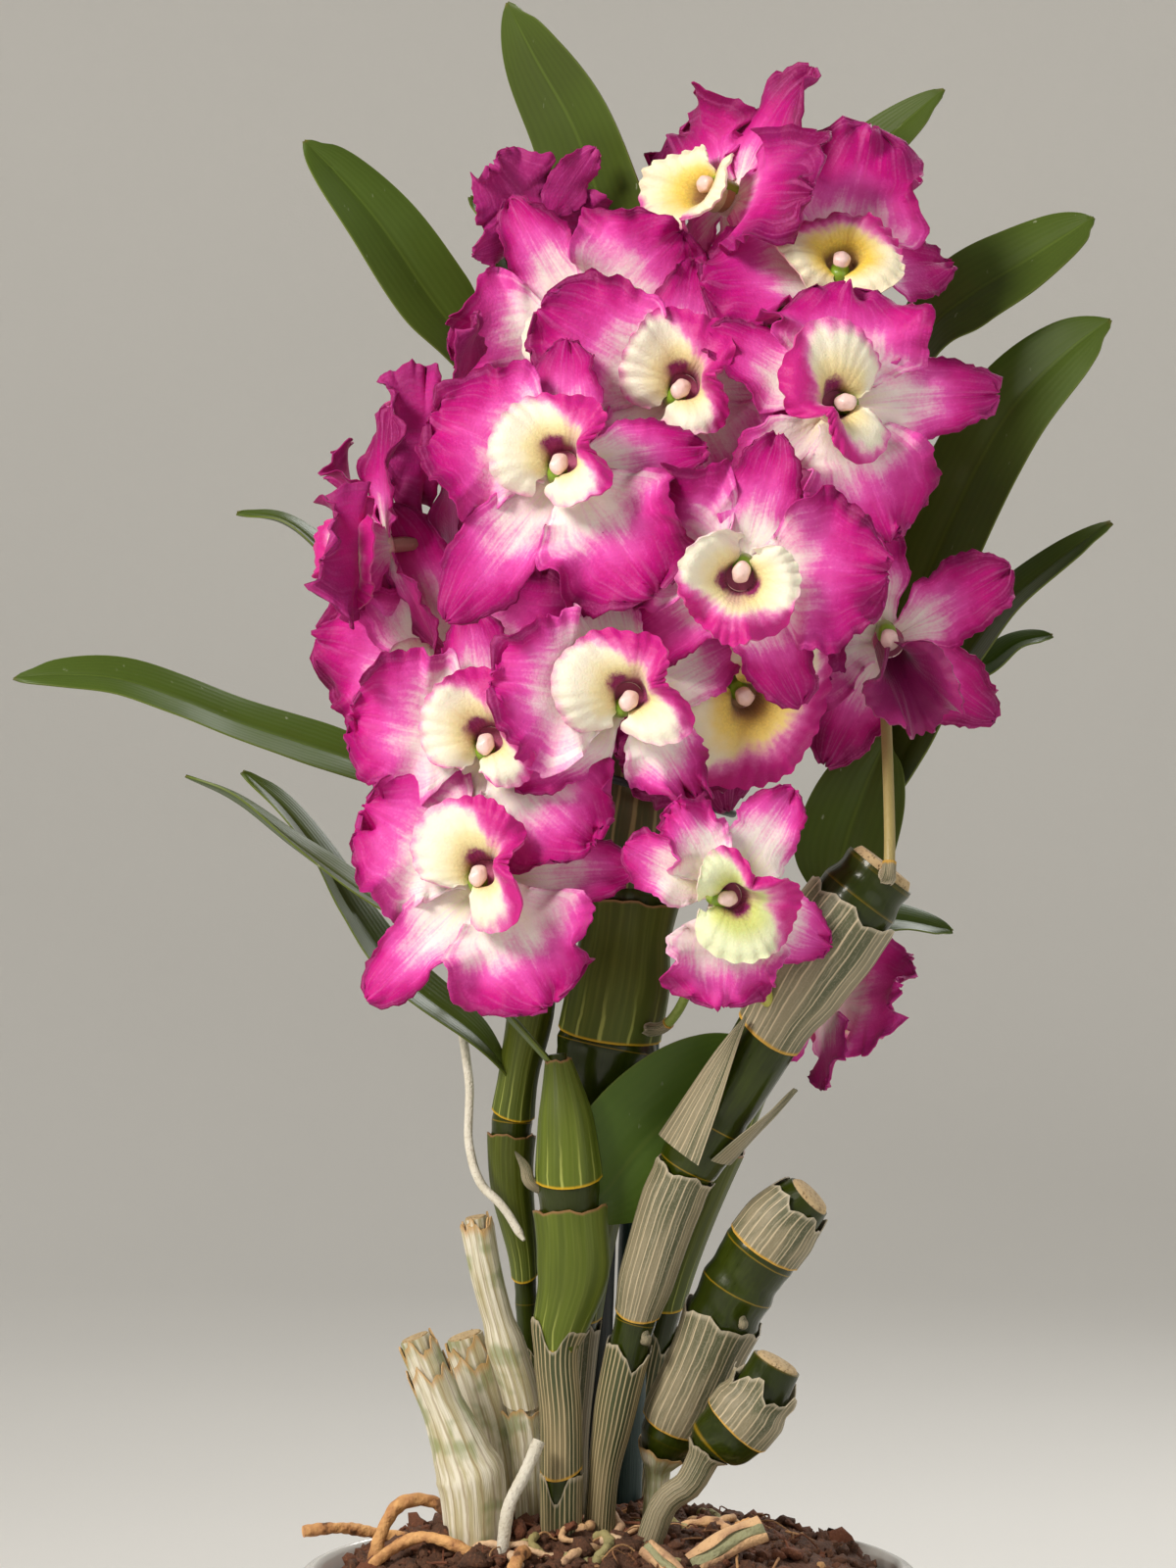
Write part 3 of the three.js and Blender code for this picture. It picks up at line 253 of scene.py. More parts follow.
# Leaves: the cane, the width, the way the upper face looks at the base and at the tip, how far the blade is
# folded along its rib, and the rib's line. A fresh leaf is lighter, partly its own colour and partly painted
# light that offsets the shade the blooms cast on it.
LEAVES = [
    {"on": "cane_main", "width": 26, "base": [-0.5, -0.9, 0.1], "tip": [-0.6, -0.7, 0.2], "fold": 0.16,
        "line": [
            [14, 20, 456], [5, 19, 472], [-2, 17, 491], [-9, 16, 510], [-19, 16, 528], [-26, 16, 542],
        ]},
    {"on": "cane_main", "width": 22, "base": [-0.5, -0.6, 0.7], "tip": [-0.3, -0.8, 0.6], "fold": 0.14,
        "line": [
            [15, 19, 446], [34, 27, 475], [52, 31, 491], [64, 32, 501], [74, 32, 510], [88, 32, 522],
        ]},
    {"on": "cane_main", "width": 30, "base": [-0.3, -0.9, 0.2], "tip": [-0.3, -0.9, 0.2], "fold": 0.14,
        "line": [[14, 18, 398], [23, 20, 417], [31, 20, 438], [38, 19, 457], [44, 18, 474]]},
    {"on": "cane_main", "width": 26, "base": [-0.3, -0.9, 0.3], "tip": [-0.3, -0.9, 0.3], "fold": 0.16,
        "line": [[12, 14, 384], [27, 16, 397], [41, 17, 408], [54, 18, 421], [63, 19, 434]]},
    {"on": "cane_main", "width": 28, "base": [0.2, -1, 0.1], "tip": [0.2, -1, 0.1], "fold": 0.14,
        "line": [[8, 10, 345], [-2, 8, 360], [-11, 6, 377], [-18, 6, 396], [-23, 8, 414]]},
    {"on": "cane_left", "width": 23, "base": [0.4, -0.8, 0.4], "tip": [0.4, -0.9, 0.3], "fold": 0.16,
        "line": [
            [-26, 26, 434], [-38, 24, 455], [-48, 23, 469], [-59, 22, 485], [-70, 22, 498],
            [-79, 22, 507],
        ]},
    {"on": "cane_left", "width": 11, "base": [0.6, -0.6, 0.4], "tip": [0.6, -0.6, 0.4], "fold": 0.2,
        "line": [[-24, 26, 460], [-26, 26, 474], [-31, 26, 486], [-36, 26, 493]]},
    {"on": "cane_left", "width": 17, "base": [0.5, -0.25, 0.85], "tip": [0.1, -0.3, 0.95], "fold": 0.2,
        "line": [
            [-27, 23, 356], [-46, 20, 364], [-57, 19, 377], [-65, 18, 389], [-74, 17, 400],
            [-84, 17, 408], [-96, 17, 410],
        ]},
    {"on": "cane_left", "width": 19, "base": [0.3, -0.6, 0.75], "tip": [0.1, -0.6, 0.8], "fold": 0.16,
        "line": [
            [-24, 20, 322], [-46, 18, 338], [-66, 16, 346], [-81, 15, 351], [-96, 14, 356],
            [-111, 12, 362], [-126, 11, 367], [-141, 10, 368], [-153, 10, 367],
        ]},
    {"on": "cane_left", "width": 18, "base": [0.4, -0.5, 0.75], "tip": [0.6, -0.3, 0.75], "fold": 0.22,
        "line": [
            [-24, 17, 262], [-34, 12, 275], [-54, 9, 291], [-66, 8, 307], [-74, 8, 321], [-84, 8, 334],
            [-94, 8, 343],
        ]},
    {"on": "cane_front", "width": 16, "base": [0.5, -0.2, 0.85], "tip": [0.5, -0.15, 0.85], "fold": 0.22,
        "line": [
            [-13, -14, 268], [-31, -12, 287], [-49, -11, 303], [-65, -11, 314], [-80, -11, 325],
            [-94, -10, 336], [-107, -9, 342],
        ]},
    # This fresh leaf's lighter tone is partly its own colour and partly painted light against the shade of
    # the blooms over it.
    {"on": "cane_front", "width": 34, "base": [0.25, -0.95, 0], "tip": [0.1, -1, 0], "fold": 0.08,
        "fresh": 0.9, "line": [
            [-7, -13, 230], [0, -9.5, 238], [8, -8, 248], [18, -7.5, 258], [29, -7, 267], [38, -6.5, 274],
        ]},
    {"on": "cane_back", "width": 26, "base": [-0.6, -0.7, 0.4], "tip": [-0.4, -0.75, 0.5], "fold": 0.16,
        "line": [
            [71, 32, 430], [83, 31, 457], [95, 30, 468], [108, 30, 476], [119, 30, 483], [127, 30, 488],
        ]},
    {"on": "cane_back", "width": 29, "base": [-0.6, -0.8, 0.2], "tip": [-0.5, -0.8, 0.3], "fold": 0.14,
        "line": [
            [69, 31, 362], [78, 29, 381], [86, 27, 401], [97, 26, 424], [107, 26, 440], [120, 26, 453],
            [131, 26, 461],
        ]},
    {"on": "cane_back", "width": 21, "base": [-0.7, -0.5, 0.5], "tip": [-0.5, -0.5, 0.7], "fold": 0.18,
        "line": [
            [64, 31, 328], [72, 28, 337], [78, 26, 349], [85, 25, 362], [94, 24, 374], [104, 24, 387],
            [117, 24, 398], [131, 24, 408],
        ]},
    {"on": "cane_back", "width": 14, "base": [-0.3, -0.5, 0.8], "tip": [-0.2, -0.5, 0.85], "fold": 0.2,
        "line": [[69, 34, 355], [85, 37, 366], [99, 38, 371], [108, 38, 377], [117, 38, 379]]},
    {"on": "cane_back", "width": 14, "base": [-0.1, -0.6, 0.8], "tip": [0, -0.6, 0.8], "fold": 0.2,
        "line": [[58, 33, 300], [68, 38, 304], [78, 41, 304], [91, 42, 301]]},
    {"on": "cane_back", "width": 26, "base": [-0.1, -1, 0.1], "tip": [0, -1, 0.1], "fold": 0.12,
        "line": [[59, 29, 306], [61, 22, 322], [66, 18, 338], [72, 18, 352]]},
]

# Torn skins that stand off a cane: height, angle round it from the front, and how far they lean away.
FLAPS = [
    {"on": "cane_right_cut", "z": 247, "angle": -40, "length": 38, "width": 15, "lean": 0.06},
    {"on": "cane_right_cut", "z": 249, "angle": 62, "length": 26, "width": 11, "lean": 0.22},
]

# Roots: the radius, and the middle line from where it starts to its tip.
ROOTS = {
    "aerial_root_long": {
        "radius": 1.15, "line": [
            [-26.8, 18.5, 299], [-33, 21, 293], [-38, 21, 286], [-38, 21, 277], [-36, 18, 262],
            [-36, 13, 248], [-33, 7, 238], [-27, 1, 232], [-21.5, -4, 224],
        ],
    },
    "aerial_root_short": {
        "radius": 1.6, "line": [[-17.5, -24, 176], [-21, -26, 168], [-25, -29, 160], [-27, -30, 146]],
    },
    "surface_root_rim": {
        "radius": 1.5, "line": [
            [-78, 2, 149], [-69, 5, 149.5], [-62, 8, 148], [-52, 10, 146], [-44, 12, 143],
        ],
    },
    "surface_root_arch": {
        "radius": 1.7, "line": [
            [-60, -6, 138], [-58, -6, 149], [-53, -5, 157], [-44, -2, 157], [-38, -4, 150],
            [-33, -4, 140],
        ],
    },
    "surface_root_low": {
        "radius": 1.5, "line": [
            [-64, -16, 138], [-56, -19, 147], [-47, -22, 151.5], [-38, -26, 150], [-29, -28, 144],
        ],
    },
    "surface_root_front": {
        "radius": 1.6, "line": [[-21, -30, 146], [-21, -38, 150.5], [-23, -46, 149], [-25, -52, 140]],
    },
}

# Split ends that lie on the mix: the middle line and the radius.
STUB_ENDS = {
    "split_stub": {"line": [[20, -38, 147], [29, -36, 152], [38, -34, 156]], "radius": 3.6},
    "small_stub": {"line": [[9, -44, 153], [15, -48, 148], [20, -53, 143]], "radius": 2.4},
}

# Stakes: foot and head, and how green the coating is.
STAKES = {
    "stake_dark": {"ends": [[-6, 26, 116], [2, 26, 342]], "green": 0.15},
    "stake_green": {"ends": [[3, 31, 116], [12, 31, 346]], "green": 1.0},
}

# Blooms: the middle of the hub, the way it faces (yaw to the right and pitch upwards from the front), where
# the lip points seen from its front, counted from the right, and the cane, height and angle of the stalk's
# seat. An oldStalk of 1 is dry and tan. All else replaces a value of SEGMENTS or LIP.
BLOOMS = {
    "bloom_01": {
        "at": [-11, -46, 417], "yaw": -6, "pitch": 8, "lipTurn": 52, "on": ["cane_main", 384, -25],
        "dorsal": {"length": 44, "width": 22}, "petalA": {"length": 36},
    },
    "bloom_02": {
        "at": [18, -24, 438], "yaw": 1, "pitch": 2, "lipTurn": 44, "on": ["cane_main", 414, 5],
        "petalB": {"length": 38, "width": 34},
    },
    "bloom_03": {
        "at": [55, -38, 433], "yaw": 14, "pitch": 2, "lipTurn": 186, "on": ["cane_main", 424, 75],
        "dorsal": {"length": 42, "width": 21},
        "petalA": {"length": 30, "width": 40, "rise": 26, "fall": -48}, "lip": {"fold": 45},
    },
    "bloom_04": {
        "at": [32, -50, 391], "yaw": -2, "pitch": -2, "lipTurn": 255, "on": ["cane_main", 371, 45],
        "dorsal": {"length": 33, "lift": -3}, "petalA": {"length": 29, "lift": -13},
        "lateralA": {"lift": 3}, "lateralB": {"lift": 3},
        "lip": {"wave": 2.2, "reach": 19, "to": 58, "fold": WHOLE},
    },
    "bloom_05": {
        "at": [4, -44, 361], "yaw": 6, "pitch": -1, "lipTurn": 66, "on": ["cane_main", 345, -15],
        "dorsal": {"bearing": -28, "length": 32}, "petalA": {"bearing": 58, "length": 28, "width": 17},
        "petalB": {"lift": 15}, "lateralA": {"lift": -5}, "lateralB": {"lift": 15},
    },
    "bloom_06": {
        "at": [-29, -36, 350], "yaw": -7, "pitch": 2, "lipTurn": 62, "on": ["cane_left", 337, 15],
        "dorsal": {"length": 28}, "petalB": {"lift": 4}, "lateralA": {"lift": -10},
    },
    "bloom_07": {
        "at": [-30, -37, 317], "yaw": -11, "pitch": 6, "lipTurn": 45, "on": ["cane_left", 304, 0],
        "dorsal": {"length": 40}, "petalB": {"lift": 2}, "lateralB": {"lift": -16},
    },
    "bloom_08": {
        "at": [28, -51, 313], "yaw": 8, "pitch": -4, "lipTurn": 14, "size": 0.9,
        "on": ["cane_main", 279, 44], "dorsal": {"bearing": -40, "length": 27},
        "petalA": {"length": 27, "width": 33}, "petalB": {"length": 26, "width": 18}, "lip": {"fold": 42},
    },
    "bloom_09": {
        "at": [58, -10, 467], "yaw": 4, "pitch": 35, "lipTurn": 80, "on": ["cane_main", 448, 75],
        "dorsal": {"lift": 4}, "petalA": {"bearing": 176, "length": 42, "width": 36, "rise": 8, "fall": 22},
        "petalB": {"bearing": -70, "lift": 3}, "lateralA": {"bearing": 125},
        "lip": {"reach": 16, "to": 78, "fold": WHOLE},
    },
    "bloom_10": {
        "at": [31, 3, 489], "yaw": -52, "pitch": 20, "lipTurn": 250, "on": ["cane_main", 459, 10],
        "lip": {"reach": 19, "to": 58, "fold": WHOLE},
    },
    "bloom_11": {
        "at": [-5, -1, 455], "yaw": -10, "pitch": -9, "lipTurn": -60, "on": ["cane_main", 440, -60],
        "dorsal": {"lift": 2}, "petalB": {"lift": -1},
    },
    "bloom_12": {
        "at": [-17, 5, 483], "yaw": 200, "pitch": 16, "lipTurn": 300, "size": 0.6,
        "on": ["cane_left", 458, 10],
    },
    "bloom_13": {
        "at": [-38, 0, 428], "yaw": -107, "pitch": 2, "lipTurn": 100, "on": ["cane_left", 424, -20],
        "petalA": {"length": 19, "width": 40, "rise": 62, "fall": 36},
    },
    "bloom_14": {
        "at": [-56, -14, 400], "yaw": -72, "pitch": -9, "lipTurn": 250, "size": 0.9,
        "on": ["cane_left", 394, -45], "petalB": {"length": 30, "width": 38, "rise": 64, "fall": 42},
    },
    "bloom_15": {
        "at": [-41, -5, 368], "yaw": -19, "pitch": -7, "lipTurn": 270, "on": ["cane_left", 362, -30],
        "dorsal": {"bearing": 18, "length": 43, "width": 32, "lift": 11}, "petalA": {"lift": -2},
        "petalB": {"length": 40, "width": 46}, "lateralB": {"lift": -1},
    },
    "bloom_16": {
        "at": [32, -20, 364], "yaw": 14, "pitch": -17, "lipTurn": 315, "on": ["cane_main", 340, 78],
        "petalA": {"lift": 8}, "lip": {"reach": 24, "fold": WHOLE},
    },
    "bloom_17": {
        "at": [70, -16, 376], "yaw": 1, "pitch": -4, "lipTurn": 285, "on": ["cane_right_cut", 318, 10],
        "oldStalk": 1.0, "petalB": {"width": 20, "wave": 0.6},
        "lip": {"wave": 2, "reach": 27, "throat": 2.4, "to": 30, "tilt": 38},
    },
    "bloom_18": {
        "at": [55, 4, 284], "yaw": 128, "pitch": -14, "lipTurn": 275, "size": 0.78,
        "on": ["cane_back", 287, 45],
    },
}

LEAFY_CANES = ("cane_main", "cane_front", "cane_left", "cane_back")
CUT_CANES = ("cane_right_cut", "cane_cut_middle", "cane_cut_small")

# What covers each cane from the mix upwards: kind, lowest and highest height, how far its upper edge
# stands off, and how ragged that edge is. Between the covers the bare stem shows.
COVERS = {
    "cane_main": [
        ("papery", 150, 203, 0.5, 2), ("sheath", 205, 240, 0.8, 1), ("sheath", 277, 311, 0.9, 1),
        ("brown", 316, 350, 0.7, 2), ("papery", 354, 388, 0.6, 2), ("papery", 394, 430, 0.6, 2),
    ],
    "cane_front": [
        ("striped", 147, 167, 0.2, 0.8), ("striped", 169, 205, 0.6, 1.5), ("fresh", 200, 234, 1.0, 0.8),
        ("fresh", 242, 271, 0.3, 0.5),
    ],
    "cane_left": [
        ("striped", 150, 196, 0.3, 1.5), ("sheath", 214, 250, 0.5, 0.8), ("sheath", 256, 296, 0.5, 0.8),
        ("sheath", 302, 345, 0.5, 1), ("papery", 350, 400, 0.5, 2), ("sheath", 410, 458, 0.5, 1),
    ],
    "cane_back": [
        ("striped", 150, 198, 0.4, 1.5), ("sheath", 204, 246, 0.5, 1), ("sheath", 252, 300, 0.5, 1),
        ("sheath", 306, 345, 0.5, 1), ("sheath", 350, 430, 0.5, 1),
    ],
    "cane_right_cut": [
        ("striped", 150, 200, 0.5, 1.5), ("papery", 208, 244, 0.7, 1.5), ("papery", 279, 311, 0.9, 2.5),
    ],
    "cane_cut_middle": [
        ("husk", 140, 172, 0.8, 2), ("papery", 179, 207, 1.0, 1.5), ("papery", 224, 236, 0.8, 2.5),
    ],
    "cane_cut_small": [("papery", 150, 175, 0.4, 1), ("papery", 181, 194, 1.8, 3.5)],
    "dry_stub_left": [("husk", 148, 196, 0.9, 4)],
    "dry_stub_middle": [("husk", 148, 196, 0.8, 3)],
    "dry_stub_tall": [("husk", 148, 183, 1.0, 3), ("husk", 184, 230, 0.4, 2)],
}
# Kinds of cover that share a finish with another: the finish, and how far its other look is mixed in.
COVER_FINISHES = {"fresh": ("sheath", 1.0), "striped": ("papery", 1.0)}
# Heights of the nodes, where the stem swells and a thin gold line goes round it.
NODE_RINGS = {
    "cane_main": [206, 242, 273, 312, 352], "cane_front": [161, 205, 238, 241],
    "cane_left": [205, 253, 299, 348], "cane_back": [201, 249, 303, 348],
    "cane_right_cut": [193, 205, 244, 255, 312, 318],
    "cane_cut_middle": [174, 205, 213, 222], "cane_cut_small": [176, 181, 196],
}
# Small resting buds at the nodes: cane, height, angle round it, length, radius, finish.
RESTING_BUDS = [
    ("cane_right_cut", 284, -30, 14, 2.2, "bud"), ("cane_front", 238, -80, 12, 1.6, "papery"),
    ("cane_cut_middle", 207, 30, 4, 1.2, "papery"), ("cane_right_cut", 201, 40, 4, 1.3, "papery"),
]
# How far the white reaches out from the middle of each bloom, how deep its magenta is, how wide the magenta
# margin of its lip is, and the lip's warmth: -1 green, 0 cream, 1 yellow.
BLOOM_TONES = {
    "bloom_01": (0.38, 0.45, 1, 0.1), "bloom_02": (0.38, 0.55, 1.1, 0.1), "bloom_03": (0.4, 0.5, 1.2, 0.2),
    "bloom_04": (0.34, 0.45, 0.8, 0.1), "bloom_05": (0.56, 0.35, 1, 0.1), "bloom_06": (0.48, 0.35, 1.1, 0),
    "bloom_07": (0.48, 0.35, 1.1, -0.1), "bloom_08": (0.58, 0.35, 0.8, -0.9), "bloom_09": (0.34, 0.5, 0.8, 1),
    "bloom_10": (0.14, 0.75, 0.2, 0.8), "bloom_11": (0.44, 0.6, 0.6, 0), "bloom_12": (-0.3, 1, 1.6, 0),
    "bloom_13": (0.06, 0.9, 1.2, 0), "bloom_14": (0.12, 0.8, 1.8, 0), "bloom_15": (0.34, 0.6, 1, 0),
    "bloom_16": (0.1, 0.8, 0.9, 0.7), "bloom_17": (0.26, 0.75, 2.6, 0), "bloom_18": (0.34, 0.5, 1, -0.4),
}
# A lip whose margin is wider than this is dark as a whole.
DARK_MARGIN = 2


# ---- Tables: the stage, in metres ----

# The soft round lights: where each hangs, its width, its share of the key light's power, and its tint.
LIGHTS = {
    "key": ((-0.95, -0.95, 1.2), 0.55, 1.0, (1.0, 0.94, 0.87)),
    "fill": ((1.1, -0.9, 0.7), 1.2, 0.1, (1.0, 1.0, 1.0)),
    "rim": ((0.6, 0.9, 1.2), 0.8, 0.4, (1.0, 1.0, 1.0)),
}
# The place that the lights are turned to, and the tint of the even light.
LIT_PLACE = (0, 0, 0.36)
SKY_TINT = (1.0, 0.98, 0.94, 1)
# The round floor: radii of its flat part, then the bend and the height of the wall, how far it lies under
# the pot, and its sides.
FLOOR_RADII = (0.02, 0.5, 1.2, 1.9)
FLOOR_BEND = 0.9
FLOOR_WALL = 2.6
FLOOR_DROP = 0.5 * MM
FLOOR_SIDES = 96


# ---- Lines and places ----


def smoothstep(value, low, high):
    """0 below low, 1 above high, smooth between."""
    share = np.clip((value - low) / (high - low), 0, 1)
    return share * share * (3 - 2 * share)


def unit(vectors):
    return vectors / np.maximum(np.linalg.norm(vectors, axis=-1, keepdims=True), 1e-12)


class Line:
    """A smooth line, followed from 0 to 1. Its points are given in millimetres, and it gives metres."""

    def __init__(self, points):
        points = np.array(points, float) * MM
        self.spans = len(points) - 1
        self.knots = np.vstack([2 * points[0] - points[1], points, 2 * points[-1] - points[-2]])

    def at(self, t):
        place = np.clip(np.asarray(t, float), 0, 1) * self.spans
        span = np.minimum(place.astype(int), self.spans - 1)
        w = (place - span)[..., None]
        before, start, end, after = (self.knots[span + k] for k in range(4))
        leave, reach = (end - before) / 2, (after - start) / 2
        bend = 3 * (end - start) - 2 * leave - reach
        return start + leave * w + bend * w**2 + (2 * (start - end) + leave + reach) * w**3

    def heading(self, t):
        t = np.asarray(t, float)
        return unit(self.at(np.minimum(t + 1e-3, 1)) - self.at(np.maximum(t - 1e-3, 0)))

    def across(self, t):
        """Directions to the right of the line and towards the front."""
        heading = self.heading(t)
        right = unit(np.cross(heading, FRONT))
        return right, unit(np.cross(right, heading))

    def place_of_height(self, z):
        """Where on the line a height in millimetres is reached, by halving."""
        low, high = 0.0, 1.0
        for _ in range(30):
            middle = (low + high) / 2
            if self.at(middle)[2] < z * MM:
                low = middle
            else:
                high = middle
        return low


def straight(start, end):
    """A straight line between two points in millimetres."""
    start, end = np.array(start, float), np.array(end, float)
    return Line([start, (start + end) / 2, end])


def rounded(outline, steps):
    """A smooth outline through points (radius, height) in millimetres, in metres."""
    line = Line([(r, 0, z) for r, z in outline])
    return line.at(np.linspace(0, 1, steps))[:, [0, 2]]


def turned(points, turn, lean):
    """Points leant about Y and then turned about Z, in radians."""
    x, y, z = points.T
    x, z = x * math.cos(lean) + z * math.sin(lean), z * math.cos(lean) - x * math.sin(lean)
    x, y = x * math.cos(turn) - y * math.sin(turn), x * math.sin(turn) + y * math.cos(turn)
    return np.stack([x, y, z], -1)


def cane_radius(name, t):
    """A cane's radius at t, in metres: its profile, with rounded shoulders."""
    places, radii = np.array(CANE_PROFILES[name], float).T
    samples = [np.interp(np.clip(t + shift, 0, 1), places, radii) for shift in (-0.012, 0, 0.012)]
    return sum(samples) / 3 * MM


def place_on(name, z, angle):
    """Centre, outward direction and radius of a cane at height z; angle 0 is the front, 90 the right."""
    line = Line(CANE_LINES[name])
    t = line.place_of_height(z)
    right, front = line.across(t)
    turn = math.radians(angle)
    return line.at(t), front * math.cos(turn) + right * math.sin(turn), float(cane_radius(name, t))


# ---- Meshes ----

PAINTS = ("along", "across", "tone", "white", "inner", "mark", "sine", "cosine")


def steps_round(count):
    """Angles of even steps round a circle, in radians."""
    return np.linspace(0, 2 * math.pi, count, endpoint=False)


def blade_shares(grid, margin=0.0):
    """Shares along a blade from 0 to 1 and across it from -1 to 1; margin is left out at both its ends."""
    rows, columns = grid
    return np.meshgrid(np.linspace(margin, 1 - margin, rows), np.linspace(-1, 1, columns), indexing="ij")


def grid_faces(rows, columns, closed=False):
    """Quads of a grid of points, row by row; closed joins the last column to the first."""
    row, column = np.meshgrid(np.arange(rows - 1), np.arange(columns - (not closed)), indexing="ij")
    right = (column + 1) % columns
    corners = [(row, column), (row + 1, column), (row + 1, right), (row, right)]
    return np.stack([r * columns + c for r, c in corners], axis=-1).reshape(-1, 4)


def capped_faces(rings, sides):
    """Faces of a closed body of rings of points: its skin, and a cap on the first and the last ring."""
    first = np.arange(sides)
    return [*grid_faces(rings, sides, closed=True), first, first[::-1] + (rings - 1) * sides]


def mesh_object(name, points, faces, finishes):
    """A smooth object of those points, in metres, with its finishes."""
    mesh = bpy.data.meshes.new(name)
    mesh.from_pydata(points.tolist(), [], faces)
    mesh.polygons.foreach_set("use_smooth", [True] * len(faces))
    for finish in finishes:
        mesh.materials.append(finish_named(finish))
    piece = bpy.data.objects.new(name, mesh)
    bpy.context.scene.collection.objects.link(piece)
    return piece


class Piece:
    """Points, faces and painted values of one object while it is put together."""

    def __init__(self, *finishes):
        self.finishes = finishes
        self.points, self.faces, self.kinds = [], [], []
        self.paints = {name: [] for name in PAINTS}
        self.count = 0

    def add(self, points, faces, finish, **paints):
        points = np.asarray(points).reshape(-1, 3)
        self.points.append(points)
        for face in faces:
            self.faces.append([int(corner) + self.count for corner in face])
        self.kinds += [self.finishes.index(finish)] * len(faces)
        for name, values in self.paints.items():
            values.append(np.broadcast_to(np.asarray(paints.get(name, 0.0), float).ravel(), len(points)))
        self.count += len(points)

    def blade(self, middle, thickness, finish, **paints):
        """A closed sheet of even thickness round a grid of points, thinner at its margins. Each paint is one
        value or a grid of them."""
        rows, columns = middle.shape[:2]
        du, dv = np.gradient(middle, axis=0), np.gradient(middle, axis=1)
        normal = unit(np.cross(du, dv))
        rim = np.abs(np.linspace(-1, 1, columns)) ** 6
        half = thickness / 2 * (1 - 0.5 * rim)[None, :, None]
        skins = (middle + normal * half, middle - normal * half)
        points = np.concatenate([skin.reshape(-1, 3) for skin in skins])
        under = rows * columns
        top = grid_faces(rows, columns)
        faces = [*top, *(top[:, ::-1] + under)]
        left, right = np.arange(rows) * columns, np.arange(rows) * columns + columns - 1
        start, end = np.arange(columns), np.arange(columns) + (rows - 1) * columns
        for edge, turned in ((left, False), (right, True), (start, True), (end, False)):
            a, b = edge[:-1], edge[1:]
            side = np.stack([a, a + under, b + under, b], axis=-1)
            faces += list(side[:, ::-1] if turned else side)
        across = paints.get("across", 0.0)
        paints = {"sine": np.sin(across), "cosine": np.cos(across), **paints}
        whole = {name: np.broadcast_to(values, (2, rows, columns)) for name, values in paints.items()}
        self.add(points, faces, finish, inner=np.repeat([1.0, 0.0], under), **whole)

    def tube(self, line, places, radii, finish, sides, shape=None, **paints):
        """A closed round body along a line. shape(angle, place) may stretch the radius."""
        places = np.asarray(places, float)
        rows = len(places)
        radii = np.broadcast_to(np.asarray(radii, float), places.shape)
        angle = steps_round(sides)
        right, front = line.across(places)
        stretch = np.ones((rows, sides)) if shape is None else shape(angle[None, :], places[:, None])
        out = right[:, None] * np.sin(angle)[None, :, None] + front[:, None] * np.cos(angle)[None, :, None]
        points = line.at(places)[:, None] + out * (radii[:, None] * stretch)[..., None]
        faces = [face[::-1] for face in capped_faces(rows, sides)]
        round_it = {"sine": np.tile(np.sin(angle), rows), "cosine": np.tile(np.cos(angle), rows)}
        paints = {"along": np.linspace(0, 1, rows), **paints}
        by_row = {name: np.repeat(v, sides) if np.size(v) == rows else v for name, v in paints.items()}
        self.add(points, faces, finish, **round_it, **by_row)

    def shell(self, line, low, high, radius, finish, thickness, rows, sides=36, ragged=0.0, flare=0.0,
              seed=0.0, dip=0.0, notch=0.0, tone=0.0):
        """An open sleeve round a line from low to high, whose radius is a function of the place on it.
        The upper edge is ragged, notched and stands off; the lower one dips in front. The radius is in
        metres and all other sizes are in millimetres."""
        angle = steps_round(sides)
        length = np.linalg.norm(line.at(high) - line.at(low)) / MM
        step = (high - low) / max(length, 1e-6)
        tooth = np.sin(5 * angle + seed) + 0.6 * np.sin(11 * angle + 2 * seed)
        tooth = tooth + 0.5 * np.sin(3 * angle - seed)
        cleft = np.exp(-((np.sin((angle - 0.5 * math.sin(seed)) / 2) / 0.22) ** 2))
        top = high - step * (ragged * (1 + 0.5 * tooth) + notch * cleft)
        bottom = low - step * dip * (0.5 + 0.5 * np.cos(angle - 0.4 * math.sin(5 * seed))) ** 1.5
        share = np.linspace(0, 1, rows)[:, None]
        t = bottom + (top - bottom)[None, :] * share
        right, front = line.across(t)
        out = right * np.sin(angle)[None, :, None] + front * np.cos(angle)[None, :, None]
        crease = 1 + 0.012 * np.sin(13 * angle + seed) + 0.008 * np.sin(29 * angle + 3 * seed)
        reach = radius(t) * crease + flare * MM * share**3 * (1 + 0.4 * np.sin(2 * angle + seed))
        centre = line.at(t)
        skins = [centre + out * reach[..., None], centre + out * (reach - thickness * MM)[..., None]]
        points = np.concatenate([skin.reshape(-1, 3) for skin in skins])
        under = rows * sides
        outer = grid_faces(rows, sides, closed=True)[:, ::-1]
        faces = [*outer, *(outer[:, ::-1] + under)]
        for first, turned in ((0, True), ((rows - 1) * sides, False)):
            a = first + np.arange(sides)
            b = first + (np.arange(sides) + 1) % sides
            side = np.stack([a, b, b + under, a + under], axis=-1)
            faces += list(side[:, ::-1] if turned else side)
        paints = {
            "along": share, "sine": np.sin(angle), "cosine": np.cos(angle),
            "mark": np.clip(1 - share * length / FOOT_BAND, 0, 1),
            "white": np.clip(1 - (1 - share) * length / EDGE_BAND, 0, 1),
        }
        whole = {name: np.broadcast_to(values, (2, rows, sides)) for name, values in paints.items()}
        self.add(points, faces, finish, tone=tone, inner=np.repeat([0.0, 1.0], under), **whole)

